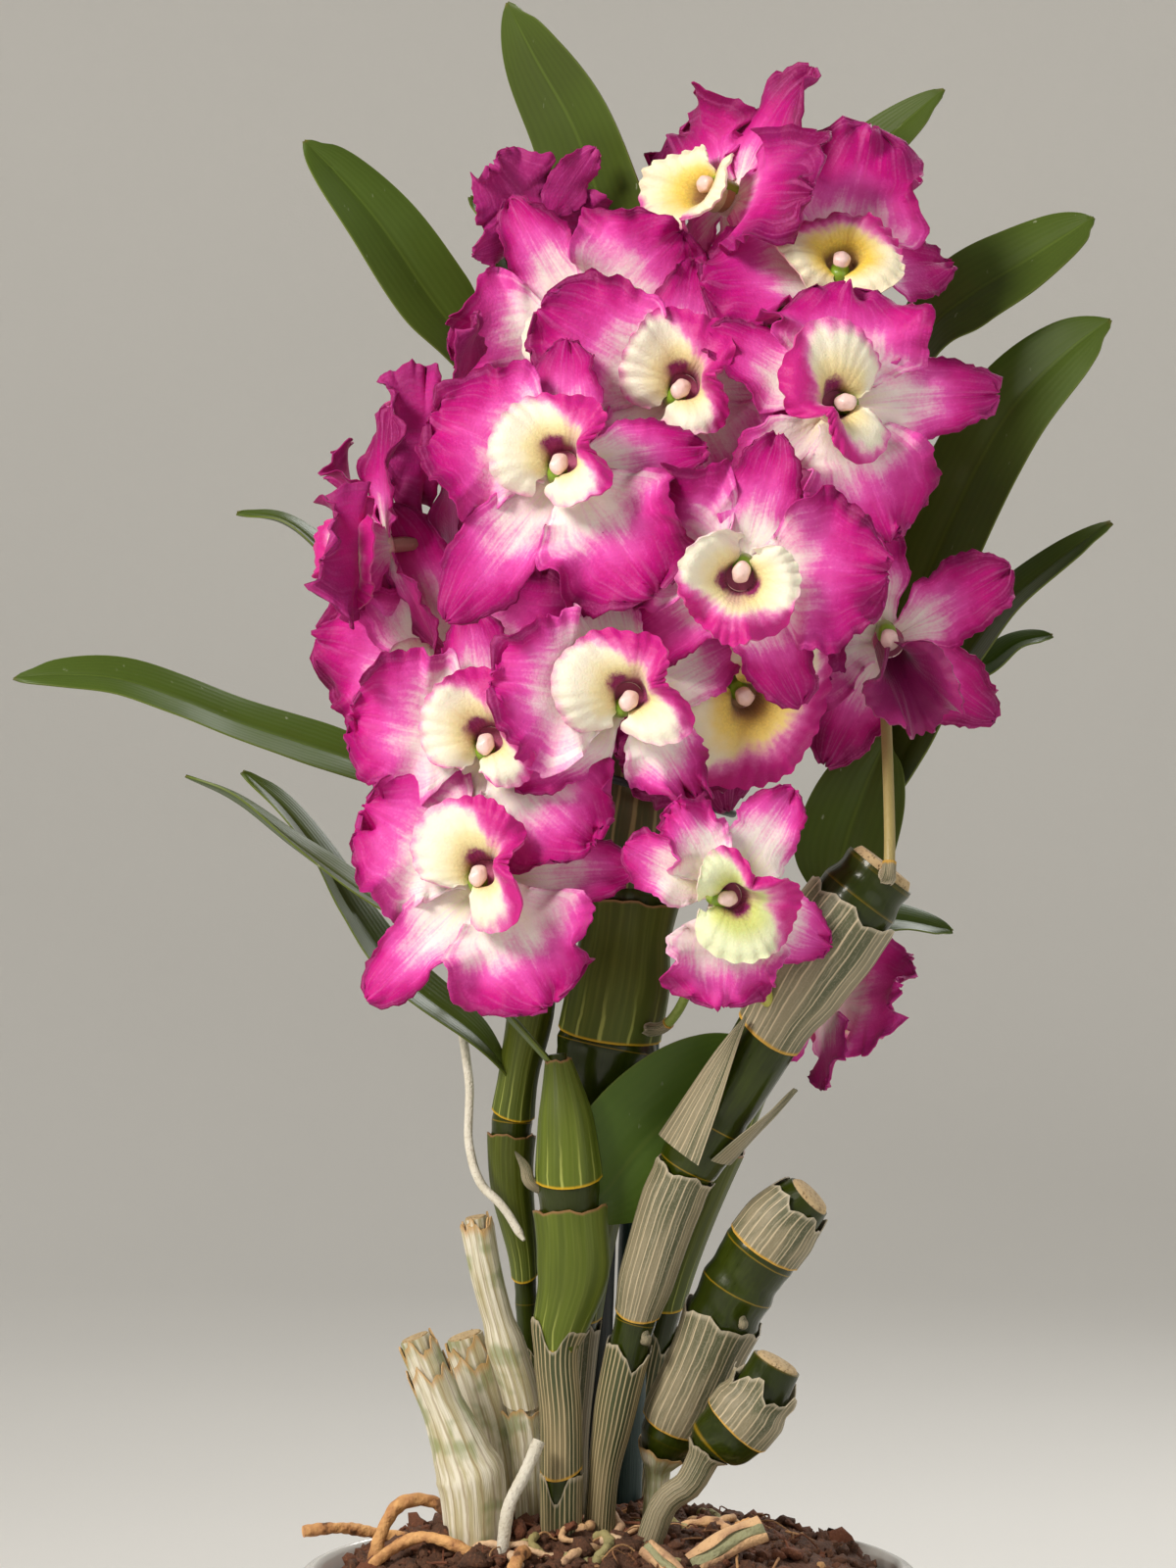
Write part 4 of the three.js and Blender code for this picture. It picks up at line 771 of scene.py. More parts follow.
    def finish_as(self, name, nodes, sharp=50):
        """Makes the Blender object, which rides on the root and stands for the nodes. Edges over the sharp
        angle, in degrees, stay hard."""
        piece = mesh_object(name, np.concatenate(self.points), self.faces, self.finishes)
        piece.data.polygons.foreach_set("material_index", self.kinds)
        for paint, values in self.paints.items():
            attribute = piece.data.attributes.new(paint, "FLOAT", "POINT")
            attribute.data.foreach_set("value", np.concatenate(values))
        piece.data.set_sharp_from_angle(angle=math.radians(sharp))
        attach(piece, "root")
        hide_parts(*nodes)
        return piece


# ---- Finishes ----


def shade(red, green, blue):
    """A colour as seen on screen, 0 to 255, as a linear colour."""
    steps = [c / 255 for c in (red, green, blue)]
    return tuple(c / 12.92 if c <= 0.04045 else ((c + 0.055) / 1.055) ** 2.4 for c in steps) + (1.0,)


class Wire:
    """A shader socket. Arithmetic on it adds Math nodes."""

    def __init__(self, finish, socket):
        self.finish, self.socket = finish, socket

    def math(self, operation, *values):
        return self.finish.node("Math", {"operation": operation}, dict(enumerate(values)))

    def __add__(self, other):
        return self.math("ADD", self, other)

    def __sub__(self, other):
        return self.math("SUBTRACT", self, other)

    def __rsub__(self, other):
        return self.math("SUBTRACT", other, self)

    def __mul__(self, other):
        return self.math("MULTIPLY", self, other)

    def __abs__(self):
        return self.math("ABSOLUTE", self)

    __radd__ = __add__
    __rmul__ = __mul__

    def wave(self):
        """A sine of the value, moved to lie from 0 to 1."""
        return self.math("SINE", self) * 0.5 + 0.5


class Finish:
    """A material while its nodes are laid. Its paints are the values that a Piece keeps at its points."""

    def __init__(self, name):
        self.material = bpy.data.materials.new(name)
        self.material.use_nodes = True
        self.tree = self.material.node_tree
        self.shader = self.tree.nodes["Principled BSDF"]
        self.colour = None
        self.place = self.node("TexCoord", out="Object")

    def node(self, kind, settings=None, values=None, out=0):
        """Adds a node: its type, its settings first, then the values or links of its sockets."""
        made = self.tree.nodes.new("ShaderNode" + kind)
        for name, value in (settings or {}).items():
            setattr(made, name, value)
        for key, value in (values or {}).items():
            self.join(value, made.inputs[key])
        return Wire(self, made.outputs[out])

    def join(self, value, socket):
        """Links a wire to the socket, or sets a number or colour on it."""
        if isinstance(value, Wire):
            self.tree.links.new(value.socket, socket)
        else:
            socket.default_value = value

    def paint(self, name):
        return self.node("Attribute", {"attribute_name": name}, out="Fac")

    def ease(self, value, low, high):
        """0 below low, 1 above high, smooth between."""
        return self.node("MapRange", {"interpolation_type": "SMOOTHSTEP"}, {0: value, 1: low, 2: high})

    def mix(self, share, first, second):
        """The colour that goes from the first to the second as share goes from 0 to 1."""
        return self.node("Mix", {"data_type": "RGBA"}, {0: share, 6: first, 7: second}, out=2)

    def lay(self, share, colour):
        """Lays a colour over the finish's own, by share from 0 to 1."""
        self.colour = self.mix(share, self.colour, colour)

    def grain(self, size, stretch=(1, 1, 1), detail=2.0):
        """Noise from 0 to 1 with spots of that size in metres, longer by stretch along each axis."""
        scale = tuple(1 / (size * s) for s in stretch)
        place = self.node("VectorMath", {"operation": "MULTIPLY"}, {0: self.place, 1: scale})
        return self.node("TexNoise", None, {"Vector": place, "Scale": 1.0, "Detail": detail})

    def cells(self, size):
        """Distance from the middle of the nearest cell; cells have that size in metres."""
        return self.node("TexVoronoi", None, {"Vector": self.place, "Scale": 1 / size}, out="Distance")

    def wear(self, roughness, height, depth, **steady):
        """Joins the finish's colour, the roughness and a relief of that depth in metres to the shader, and
        sets what is the same all over it."""
        self.join(self.colour, self.shader.inputs["Base Color"])
        self.join(roughness, self.shader.inputs["Roughness"])
        relief = {"Height": height, "Distance": depth, "Strength": 1.0}
        self.join(self.node("Bump", None, relief), self.shader.inputs["Normal"])
        for name, value in steady.items():
            self.shader.inputs[name.replace("_", " ")].default_value = value

    def round(self):
        """The turn round a tube or sleeve, or across a blade, in radians."""
        sine = self.paint("sine")
        return sine.math("ARCTAN2", sine, self.paint("cosine"))

    def strands(self, count, length, detail=2.0):
        """Noise in streaks along a body: more of them round it with count, shorter ones with length."""
        round_it = {0: self.paint("cosine") * count, 1: self.paint("sine") * count}
        place = self.node("CombineXYZ", None, {**round_it, 2: self.paint("along") * length})
        return self.node("TexNoise", None, {"Vector": place, "Scale": 1.0, "Detail": detail})


def glaze(f):
    """White glaze, a little cloudy, with faint grey flecks."""
    looks = bpy.context.scene.orchid_pot
    cloud, fleck = f.grain(0.03), f.ease(f.cells(0.004), 0.0, 0.06)
    f.colour = f.mix(cloud, tuple(looks.glaze), shade(238, 237, 232))
    f.lay((1 - fleck) * 0.25, shade(170, 160, 145))
    f.wear(cloud * 0.1 + 0.1, f.grain(0.012, detail=1.0), 0.0002, Coat_Weight=0.6, Coat_Roughness=0.05)


def crumb(f):
    """Dark damp mix; the tone goes from soil through red bark to pale fibre."""
    looks = bpy.context.scene.orchid_mix
    tone, fine, coarse = f.paint("tone"), f.grain(0.0009, detail=4.0), f.grain(0.006)
    f.colour = f.mix(fine * coarse * 1.8, shade(46, 27, 18), tuple(looks.colour))
    f.lay(f.ease(tone, 0.1, 0.6) * 0.8, shade(122, 70, 46))
    f.lay(f.ease(tone, 0.6, 1.0), shade(196, 152, 104))
    f.lay(f.ease(fine, 0.58, 0.75) * 0.5, shade(156, 98, 66))
    f.wear(0.8 + fine * 0.15, fine, 0.0008)


def stem(f):
    """The bare stem: deep glossy green, with faint streaks and a thin line at each node."""
    looks = bpy.context.scene.orchid_canes
    streak, cloud = f.strands(9, 30), f.grain(0.014)
    f.colour = f.mix(f.ease(cloud * 0.6 + streak * 0.4, 0.4, 0.75), tuple(looks.stem), shade(48, 60, 2))
    f.lay(f.paint("tone") * 0.3, shade(82, 92, 16))
    f.lay(f.ease(f.paint("mark"), 0.9, 1.0) * 0.5, shade(176, 140, 24))
    f.wear(streak * 0.12 + 0.24, streak, 0.00012, Specular_IOR_Level=0.22, Coat_Weight=0.22,
           Coat_Roughness=0.1)


def veins(f, count, sway=1.0):
    """Lines along a sleeve or blade, uneven and a little crooked, from 0 between them to 1 on them."""
    return (f.round() * count + f.grain(0.006) * sway + f.strands(1.3, 0.4) * 5.0).wave()


def sheath(f):
    """Living sheaths: yellower at the foot, with pale veins up from the node and a brown upper edge."""
    looks = bpy.context.scene.orchid_canes
    along, fresh = f.paint("along"), f.paint("tone")
    strand, soft = f.strands(9, 1.0, 3.0), f.strands(2.5, 0.7)
    lines = f.ease(veins(f, 12, 1.2), 0.93, 1.0) * (f.strands(4, 0.3) * 1.4 - 0.1)
    f.colour = f.mix(f.ease(along + f.grain(0.012) * 0.4, 0.1, 0.8), shade(84, 98, 32), tuple(looks.sheath))
    f.lay(fresh * 0.8, shade(94, 110, 28))
    f.lay(f.ease(soft, 0.35, 0.65) * 0.5, shade(58, 70, 12))
    f.lay(f.ease(strand, 0.45, 0.7) * 0.25, shade(118, 128, 52))
    fade = 1 - f.ease(along + strand * 0.1, 0.05, 0.48)
    f.lay(lines * fade, shade(200, 206, 110))
    f.lay(lines * 0.12, shade(150, 164, 80))
    f.lay(f.ease(f.paint("white"), 0.78, 0.98) * 0.85, shade(150, 108, 72))
    f.lay(f.ease(f.paint("mark"), 0.72, 0.95) * 0.9, shade(204, 162, 24))
    f.wear(0.38 + strand * 0.2, lines * 0.3 + strand, 0.00016, Specular_IOR_Level=0.28, Coat_Weight=0.06,
           Coat_Roughness=0.2)


def brown_sheath(f):
    """Sheaths on the point of drying: brown and olive, with pale veins and a tan upper edge."""
    lines, cloud, strand = veins(f, 15), f.strands(1.6, 1.5), f.strands(9, 2.0)
    f.colour = f.mix(f.ease(cloud, 0.35, 0.65), shade(92, 78, 42), shade(66, 74, 30))
    f.lay(f.ease(lines, 0.84, 1.0) * 0.7, shade(164, 150, 96))
    f.lay(f.ease(strand, 0.5, 0.75) * 0.3, shade(130, 112, 70))
    f.lay(f.ease(f.paint("white"), 0.4, 0.95), shade(176, 128, 84))
    f.wear(0.45 + strand * 0.2, lines * 0.5 + strand, 0.0003)


def papery(f):
    """Thin grey skins with cream veins and a gold line at the foot; the tone makes them closely striped."""
    looks = bpy.context.scene.orchid_canes
    wide, stray, fine = veins(f, 24, 1.2), veins(f, 13, 1.6), veins(f, 28, 0.8)
    speck, cloud = f.grain(0.0005, detail=4.0), f.strands(1.6, 1.6)
    strand, hair = f.strands(7, 2.0), f.strands(30, 6.0)
    under = f.mix(f.ease(cloud, 0.32, 0.62), shade(80, 84, 54), tuple(looks.dry))
    under = f.mix(f.ease(strand, 0.4, 0.7) * 0.5, under, shade(92, 94, 68))
    under = f.mix(f.ease(speck, 0.5, 0.7) * 0.3, under, shade(164, 158, 138))
    under = f.mix(f.ease(hair, 0.5, 0.72) * 0.35, under, shade(172, 162, 136))
    lines = f.ease(wide + hair * 0.05, 0.95, 1.01) + f.ease(stray, 0.98, 1.0) * 0.5
    plain = f.mix(lines * (strand * 0.7 + 0.4), under, shade(208, 190, 158))
    bands = f.mix(f.ease(cloud, 0.35, 0.75), shade(64, 72, 38), shade(130, 118, 84))
    bands = f.mix(f.ease(fine + hair * 0.2, 0.78, 1.12) * 0.85, bands, shade(200, 180, 140))
    f.colour = f.mix(f.paint("tone"), plain, bands)
    f.lay(f.ease(f.paint("white"), 0.6, 1.0) * 0.6, shade(206, 194, 170))
    f.lay(f.ease(f.paint("mark") + cloud * 0.1, 0.76, 0.98) * 0.9, shade(206, 156, 40))
    f.wear(0.4 + speck * 0.3, wide * 0.3 + hair * 0.4 + speck * 0.3, 0.0003)


def husk(f):
    """Old bleached skins: cream with long fine fibres, tan lines, green patches and tan frayed ends."""
    fibres, fine, patch = f.strands(5, 2.5, 3.0), f.strands(24, 5.0, 3.0), f.grain(0.009)
    lines = veins(f, 14, 2.0)
    f.colour = f.mix(f.ease(fibres, 0.35, 0.6), shade(198, 188, 148), shade(240, 234, 214))
    f.lay(f.ease(fine, 0.52, 0.75) * 0.5, shade(176, 160, 120))
    f.lay(f.ease(patch + f.paint("along") * 0.12, 0.56, 0.72) * 0.65, shade(132, 146, 84))
    f.lay(f.ease(lines, 0.9, 1.0) * 0.5, shade(150, 122, 82))
    f.lay(f.ease(f.paint("white"), 0.3, 1.0) * 0.8, shade(206, 162, 100))
    f.lay(f.paint("inner") * 0.5, shade(150, 120, 78))
    f.wear(0.6 + fine * 0.2, fine + lines * 0.3, 0.0003)


def cut_face(f):
    """The pale pithy face where a cane was cut."""
    pores, cloud = f.ease(f.cells(0.0009), 0.1, 0.45), f.grain(0.003, detail=3.0)
    f.colour = f.mix(cloud, shade(214, 190, 148), shade(178, 150, 106))
    f.lay((1 - pores) * 0.4, shade(140, 102, 66))
    f.wear(0.8 + cloud * 0.1, pores, 0.0003)


def leaf_green(f):
    """Waxy green with a paler midrib, foot and margin, fine veins, a few scuffs and a brown tip."""
    looks = bpy.context.scene.orchid_canes
    across, along, cloud = f.paint("across"), f.paint("along"), f.grain(0.025)
    lines = (across * 40 + f.grain(0.012) * 2).wave()
    f.colour = f.mix(f.ease(cloud, 0.3, 0.7), tuple(looks.leaf), shade(56, 72, 8))
    # The tone lightens a leaf; on the fresh leaf it is partly painted light that offsets the shade cast on
    # it.
    f.lay(f.paint("tone") * 0.85, shade(84, 122, 40))
    f.lay(lines * 0.06, shade(112, 136, 44))
    f.lay((1 - f.ease(abs(across), 0.015, 0.05)) * 0.4, shade(104, 126, 44))
    f.lay((1 - f.ease(along, 0.0, 0.16)) * 0.6, shade(106, 124, 40))
    f.lay(f.ease(abs(across), 0.96, 1.0) * 0.5, shade(122, 134, 56))
    f.lay((1 - f.paint("inner")) * 0.4, shade(86, 104, 40))
    scuff = f.ease(f.grain(0.002, (1, 1, 3), 3.0), 0.7, 0.78)
    f.lay(scuff * 0.5, shade(170, 176, 150))
    f.lay(f.ease(along + f.grain(0.003) * 0.03, 1.0, 1.03) * 0.7, shade(120, 100, 50))
    f.wear(0.34 + cloud * 0.16, lines * 0.25 + cloud, 0.0001, Specular_IOR_Level=0.26, Coat_Weight=0.05,
           Coat_Roughness=0.2)


def bud_green(f):
    """A yellow-green bud with darker lines."""
    lines = f.strands(3, 2.0)
    f.colour = f.mix(lines, shade(150, 156, 52), shade(208, 200, 110))
    f.lay(f.ease(f.paint("along"), 0.6, 1.0), shade(150, 154, 56))
    f.wear(0.4 + lines * 0.1, lines, 0.0003)


def petal(f):
    """White at the middle of the bloom, through pink to magenta, in streaks from the middle outwards, with
    painted highlights and sparkle.
    """
    looks = bpy.context.scene.orchid_blooms
    along, across, depth = f.paint("along"), f.paint("across"), f.paint("tone")
    cloud, spot, broad = f.grain(0.007), f.grain(0.0007, detail=3.0), f.grain(0.02)
    streak = f.strands(12, 1.4, 3.0)
    uneven = (cloud - 0.5) * 0.3 + (streak - 0.5) * 0.34 + spot * 0.14
    reach = along + across * across * 0.3 + uneven - f.paint("white")
    fan = (across * (along * -8 + 26) + f.grain(0.005) * 5).wave()
    f.colour = f.mix(f.ease(reach, -0.42, 0.0), shade(238, 232, 194), tuple(looks.pale))
    f.lay(f.ease(reach, -0.04, 0.32), tuple(looks.pink))
    f.lay(f.ease(reach + fan * 0.03, 0.18, 0.56), tuple(looks.magenta))
    deepen = f.ease(reach + broad * 0.3, 0.46, 1.05) * (depth + 0.3)
    deepen = deepen + f.ease(abs(across) + spot * 0.1, 0.72, 1.05) * f.ease(reach, 0.16, 0.56) * 0.6
    f.lay(deepen, tuple(looks.deep))
    f.lay(f.ease(broad, 0.5, 0.75) * 0.2, shade(226, 54, 174))
    # Lighter pink on streaks and specks: partly the petal's own paler streaks, partly painted highlight and
    # sparkle.
    f.lay(f.ease(streak + spot * 0.3, 0.6, 0.95) * 0.26, shade(248, 124, 204))
    f.lay((1 - f.paint("inner")) * 0.3, shade(206, 60, 156))
    relief = fan * 0.12 + streak * 0.3 + spot * 0.8
    f.wear(0.5 + cloud * 0.15, relief, 0.0002, Specular_IOR_Level=0.22, Sheen_Weight=0.06,
           Sheen_Roughness=0.4, Subsurface_Weight=0.1, Subsurface_Scale=0.002)


def lip(f):
    """Maroon flanks and a dark floor in the throat, with tan-brown painted shade deep in it, then yellow,
    cream, and magenta towards the margin.
    The mark is the lip's warmth, white the width of its magenta margin, and the tone darkens it whole."""
    looks = bpy.context.scene.orchid_blooms
    along, across = f.paint("along"), abs(f.paint("across"))
    depth, warm = f.paint("tone"), f.paint("mark")
    inside, cloud, speck = f.paint("inner"), f.grain(0.004), f.grain(0.0006, detail=3.0)
    fan = (f.paint("across") * 84 + f.grain(0.004) * 4).wave()
    reach = along + (cloud - 0.5) * 0.24
    yellow, green = f.ease(warm, 0.0, 1.0), 1 - f.ease(warm, -1.0, 0.0)
    wide = f.mix(green, f.mix(yellow, tuple(looks.cream), shade(252, 240, 206)), shade(232, 238, 196))
    inner = f.mix(green, f.mix(yellow, tuple(looks.yellow), shade(250, 214, 84)), shade(206, 216, 122))
    # The tan-brown deep in the throat, fading out between reach 0.1 and 0.4, is painted shade of the deep
    # funnel.
    f.colour = f.mix(f.ease(reach, 0.1, 0.4), shade(176, 140, 84), inner)
    freckles = f.ease(speck + cloud * 0.5, 0.6, 0.9) * (1 - f.ease(reach, 0.3, 0.6))
    f.lay(freckles * 0.25, shade(150, 116, 64))
    f.lay(f.ease(reach, 0.4, 0.8), wide)
    plain = f.ease(warm, 0.4, 0.7)
    floor = (1 - f.ease(across, 0.05, 0.3)) * (1 - f.ease(reach, 0.4, 0.6))
    f.lay(floor * (1 - plain) * 0.45, shade(190, 116, 160))
    flank = f.ease(across, 0.16, 0.3) * (1 - f.ease(across, 0.55, 0.75))
    blotch = flank * (1 - f.ease(reach + speck * 0.16, 0.36, 0.5)) * inside * (1 - plain)
    f.lay(blotch, tuple(looks.maroon))
    throat = (1 - f.ease(reach, 0.12, 0.3)) * (1 - f.ease(across, 0.45, 0.7)) * inside
    f.lay(throat * (1 - plain * 0.8) * 0.75, shade(190, 66, 126))
    edge = reach + fan * 0.03 + speck * 0.08 + (f.paint("white") - 1) * 0.4
    f.lay(f.ease(edge, 0.5, 0.72) * 0.9, tuple(looks.pink))
    f.lay(f.ease(edge, 0.6, 0.84), tuple(looks.magenta))
    f.lay((1 - inside) * f.ease(along, 0.5, 1.0) * 0.35, shade(236, 150, 196))
    f.lay((1 - inside) * (1 - f.ease(along, 0.1, 0.5)) * 0.7, shade(216, 222, 160))
    f.lay(f.ease(depth, 0.6, 1.0) * 0.9, tuple(looks.maroon))
    f.wear(0.5 + cloud * 0.15, fan * 0.25 + speck * 0.75, 0.00025, Sheen_Weight=0.2, Sheen_Roughness=0.4,
           Subsurface_Weight=0.1, Subsurface_Scale=0.002)


def column(f):
    """The column: lime green below, with a pale pink cap."""
    along, speck, cloud = f.paint("along"), f.grain(0.0005, detail=3.0), f.grain(0.002)
    f.colour = f.mix(f.ease(along + cloud * 0.1, 0.1, 0.5), shade(150, 182, 50), shade(126, 160, 40))
    f.lay(f.ease(along + cloud * 0.04, 0.66, 0.7), shade(248, 214, 208))
    f.lay(f.ease(speck, 0.5, 0.8) * f.ease(along, 0.7, 0.75) * 0.5, shade(238, 186, 190))
    f.wear(0.35, speck, 0.00012, Coat_Weight=0.2, Coat_Roughness=0.25)


def stalk(f):
    """Pale green, pink under the bloom; the tone turns it the tan of an old stalk."""
    streak, along, tone = f.grain(0.0007, (1, 1, 6)), f.paint("along"), f.paint("tone")
    f.colour = f.mix(streak, shade(112, 136, 52), shade(156, 172, 84))
    f.lay((1 - f.ease(along, 0.0, 0.45)) * 0.6, shade(206, 120, 150))
    f.lay(tone, shade(164, 148, 92))
    f.wear(0.4 + streak * 0.15, streak, 0.0002)


def root_skin(f):
    """White-grey skin of roots in the air; the tone turns it tan, the mark green."""
    cloud, fine, tone = f.grain(0.005, detail=3.0), f.grain(0.0007, detail=3.0), f.paint("tone")
    f.colour = f.mix(cloud, shade(236, 232, 220), shade(196, 188, 164))
    warm = f.mix(f.ease(cloud, 0.35, 0.65), shade(232, 176, 108), shade(186, 126, 72))
    f.lay(tone, warm)
    f.lay(f.paint("mark"), shade(142, 146, 96))
    f.lay(f.ease(cloud, 0.6, 0.68) * tone * 0.8, shade(70, 44, 28))
    f.lay(f.ease(fine, 0.58, 0.74) * 0.35, shade(120, 88, 54))
    f.wear(0.65 + fine * 0.2, fine, 0.0004)


def stake_coat(f):
    """Scuffed coating: black, or dark green with the tone."""
    streak, cloud = f.strands(10, 12, 3.0), f.grain(0.01, (1, 1, 4))
    f.colour = f.mix(f.paint("tone"), shade(20, 22, 26), shade(40, 64, 62))
    f.lay(f.ease(streak, 0.5, 0.8) * 0.25, shade(96, 118, 112))
    f.wear(0.34 + cloud * 0.3, streak, 0.0002)


def hoop_black(f):
    """Black coating of the wire, scuffed grey in places."""
    scuff = f.grain(0.002, detail=4.0)
    f.colour = f.mix(f.ease(scuff, 0.5, 0.8) * 0.4, shade(16, 16, 20), shade(70, 70, 76))
    f.wear(0.35 + scuff * 0.25, scuff, 0.0001)


def pale_floor(f):
    """The stage's matt floor, which glows a little."""
    looks = bpy.context.scene.orchid_stage
    f.colour = f.mix(f.grain(0.4) * 0.5, tuple(looks.floor), shade(208, 206, 201))
    f.wear(0.8, f.grain(0.002), 0.0001, Emission_Color=tuple(looks.floor), Emission_Strength=0.14)


FINISHES = {
    "glaze": glaze, "crumb": crumb, "stem": stem, "sheath": sheath, "brown": brown_sheath, "papery": papery,
    "husk": husk, "cut": cut_face, "leaf": leaf_green, "bud": bud_green, "petal": petal, "lip": lip,
    "column": column, "stalk": stalk, "root": root_skin, "stake": stake_coat, "hoop": hoop_black,
    "floor": pale_floor,
}


def finish_named(name):
    """The material of that finish, laid the first time that it is asked for."""
    label = "orchid_" + name
    if label not in bpy.data.materials:
        FINISHES[name](Finish(label))
    return bpy.data.materials[label]


# ---- Pot and potting mix ----


def revolved(outline, sides):
    """Points of an outline turned about the pot's axis, ring by ring."""
    angle = steps_round(sides)
    radius, height = outline[:, 0, None], outline[:, 1, None]
    height = np.broadcast_to(height, (len(outline), sides))
    return np.stack([radius * np.cos(angle), radius * np.sin(angle), height], -1)


def build_pot():
    sides = bpy.context.scene.orchid_pot.sides
    foot = np.array([(POT_CAP, 0), POT_HEEL[0]]) * MM
    heel = rounded([*POT_HEEL, POT_WALL[0]], 12)[1:-1]
    floor = np.array([POT_FLOOR, (POT_CAP, POT_FLOOR[1])]) * MM
    outline = np.concatenate([foot, heel, rounded(POT_WALL, 96), floor])
    piece = Piece("glaze")
    piece.add(revolved(outline, sides), capped_faces(len(outline), sides), "glaze")
    pot = piece.finish_as("pot_glazed", ["pot"])
    drill_drains(pot)


def drill_drains(pot):
    """Cuts the drain holes through the pot's floor."""
    holes = Piece("glaze")
    for k in range(DRAIN_HOLES):
        angle = 2 * math.pi * k / DRAIN_HOLES
        x, y = DRAIN_RING * math.cos(angle), DRAIN_RING * math.sin(angle)
        holes.tube(Line([(x, y, z) for z in DRAIN_HEIGHTS]), [0, 1], DRAIN_RADIUS * MM, "glaze", 24)
    cutter = holes.finish_as("pot_drain_cutter", ["pot"])
    cut = pot.modifiers.new("drains", "BOOLEAN")
    cut.object, cut.operation, cut.solver = cutter, "DIFFERENCE", "EXACT"
    apply_modifiers(pot)
    bpy.data.objects.remove(cutter)


def apply_modifiers(piece):
    graph = bpy.context.evaluated_depsgraph_get()
    mesh = bpy.data.meshes.new_from_object(piece.evaluated_get(graph))
    piece.modifiers.clear()
    piece.data = mesh


def mix_height(x, y):
    """Height of the heaped mix at a place, in millimetres; it sinks towards the pot's wall."""
    share = np.minimum(np.hypot(x, y) / MIX_RADIUS, 1)
    heaps = np.sin(x * 0.21 + 1.3) * np.cos(y * 0.17 - 0.4) + 0.7 * np.sin(x * 0.4 - y * 0.33)
    sink = 4.5 * smoothstep(share, 0.84, 1)
    return MIX_EDGE + MIX_CROWN * (1 - share**2.4) + 1.1 * heaps * (1 - share**4) - sink


def rumple(x, y, sizes):
    """Uneven ground from -1 to 1: noise of each (size in millimetres, share) at the places."""
    total = np.zeros(np.shape(x))
    for k, (size, share) in enumerate(sizes):
        for index in np.ndindex(total.shape):
            total[index] += share * noise.noise(Vector((x[index] / size, y[index] / size, 7.3 * k)))
    return total


def build_mix():
    looks = bpy.context.scene.orchid_mix
    rng = np.random.default_rng(looks.seed)
    piece = Piece("crumb", "root")
    heap(piece, rng)
    strewn = {crumb_of_mix: looks.crumbs, chip: looks.chips, fibre: looks.fibres, rootlet: looks.rootlets}
    for strew, count in strewn.items():
        for _ in range(count):
            strew(piece, rng)
    piece.finish_as("potting_mix_crumbly", ["potting_mix"], sharp=80)


def heap(piece, rng):
    """The mound itself, closed by its underside in the pot."""
    angle = steps_round(MIX_SIDES)
    radius = (np.linspace(0.006, 1, MIX_RINGS) ** 0.85 * (MIX_RADIUS - 0.4))[:, None]
    x, y = radius * np.cos(angle), radius * np.sin(angle)
    fade = np.clip((MIX_RADIUS - radius) / 6, 0.2, 1)
    top = np.stack([x, y, mix_height(x, y) + rumple(x, y, MIX_CLODS) * fade], -1)
    points = np.concatenate([top * MM, revolved(np.array(MIX_UNDER) * MM, MIX_SIDES)])
    tone = np.concatenate([rng.uniform(0, 0.3, x.size), np.zeros(len(MIX_UNDER) * MIX_SIDES)])
    piece.add(points, capped_faces(len(points), MIX_SIDES), "crumb", tone=tone)


def place_in_pot(rng, spread):
    """A place on the mix, in millimetres; spread is the share of its area."""
    radius, turn = MIX_RADIUS * math.sqrt(rng.uniform(0, spread)), rng.uniform(0, 2 * math.pi)
    return radius * math.cos(turn), radius * math.sin(turn)


def ball_points():
    """Points of a small ball, the start of each crumb."""
    angle = steps_round(BALL_SIDES)
    rings = [(math.sin(polar), math.cos(polar)) for polar in BALL_RINGS]
    return np.array([(r * math.cos(a), r * math.sin(a), z) for r, z in rings for a in angle])


def crumb_of_mix(piece, rng):
    """A lumpy crumb, on the mix or partly in it."""
    x, y = place_in_pot(rng, 0.94)
    size = rng.gamma(1.8, 0.5) + 0.5
    centre = np.array([x, y, mix_height(x, y) + size * rng.uniform(-0.1, 0.5)])
    ball = ball_points()
    lumpy = ball * (1 + 0.28 * rng.standard_normal((len(ball), 1)).clip(-1, 1))
    stretch = size * np.array([rng.uniform(0.7, 1.5), rng.uniform(0.6, 1.1), rng.uniform(0.5, 0.9)])
    placed = turned(lumpy * stretch, rng.uniform(0, 2 * math.pi), rng.normal(0, 0.4)) + centre
    piece.add(placed * MM, capped_faces(len(BALL_RINGS), BALL_SIDES), "crumb", tone=rng.beta(1.1, 3.6))


def chip(piece, rng):
    """A flat flake of bark that lies on the mix."""
    x, y = place_in_pot(rng, 0.82)
    length, width = rng.uniform(4, 8), rng.uniform(2, 4)
    u, v = np.meshgrid(np.linspace(-1, 1, 7), np.linspace(-1, 1, 5), indexing="ij")
    outline = 1 - 0.35 * np.abs(u) ** 3 + 0.12 * rng.standard_normal(u.shape)
    middle = np.stack([u * length / 2, v * width / 2 * outline, 0.35 * rng.standard_normal(u.shape)], -1)
    centre = np.array([x, y, mix_height(x, y) + 1.0])
    placed = turned(middle.reshape(-1, 3), rng.uniform(0, 2 * math.pi), rng.normal(0, 0.3)) + centre
    tone = rng.uniform(0.2, 0.7)
    piece.blade(placed.reshape(middle.shape) * MM, rng.uniform(0.8, 1.6) * MM, "crumb", tone=tone)


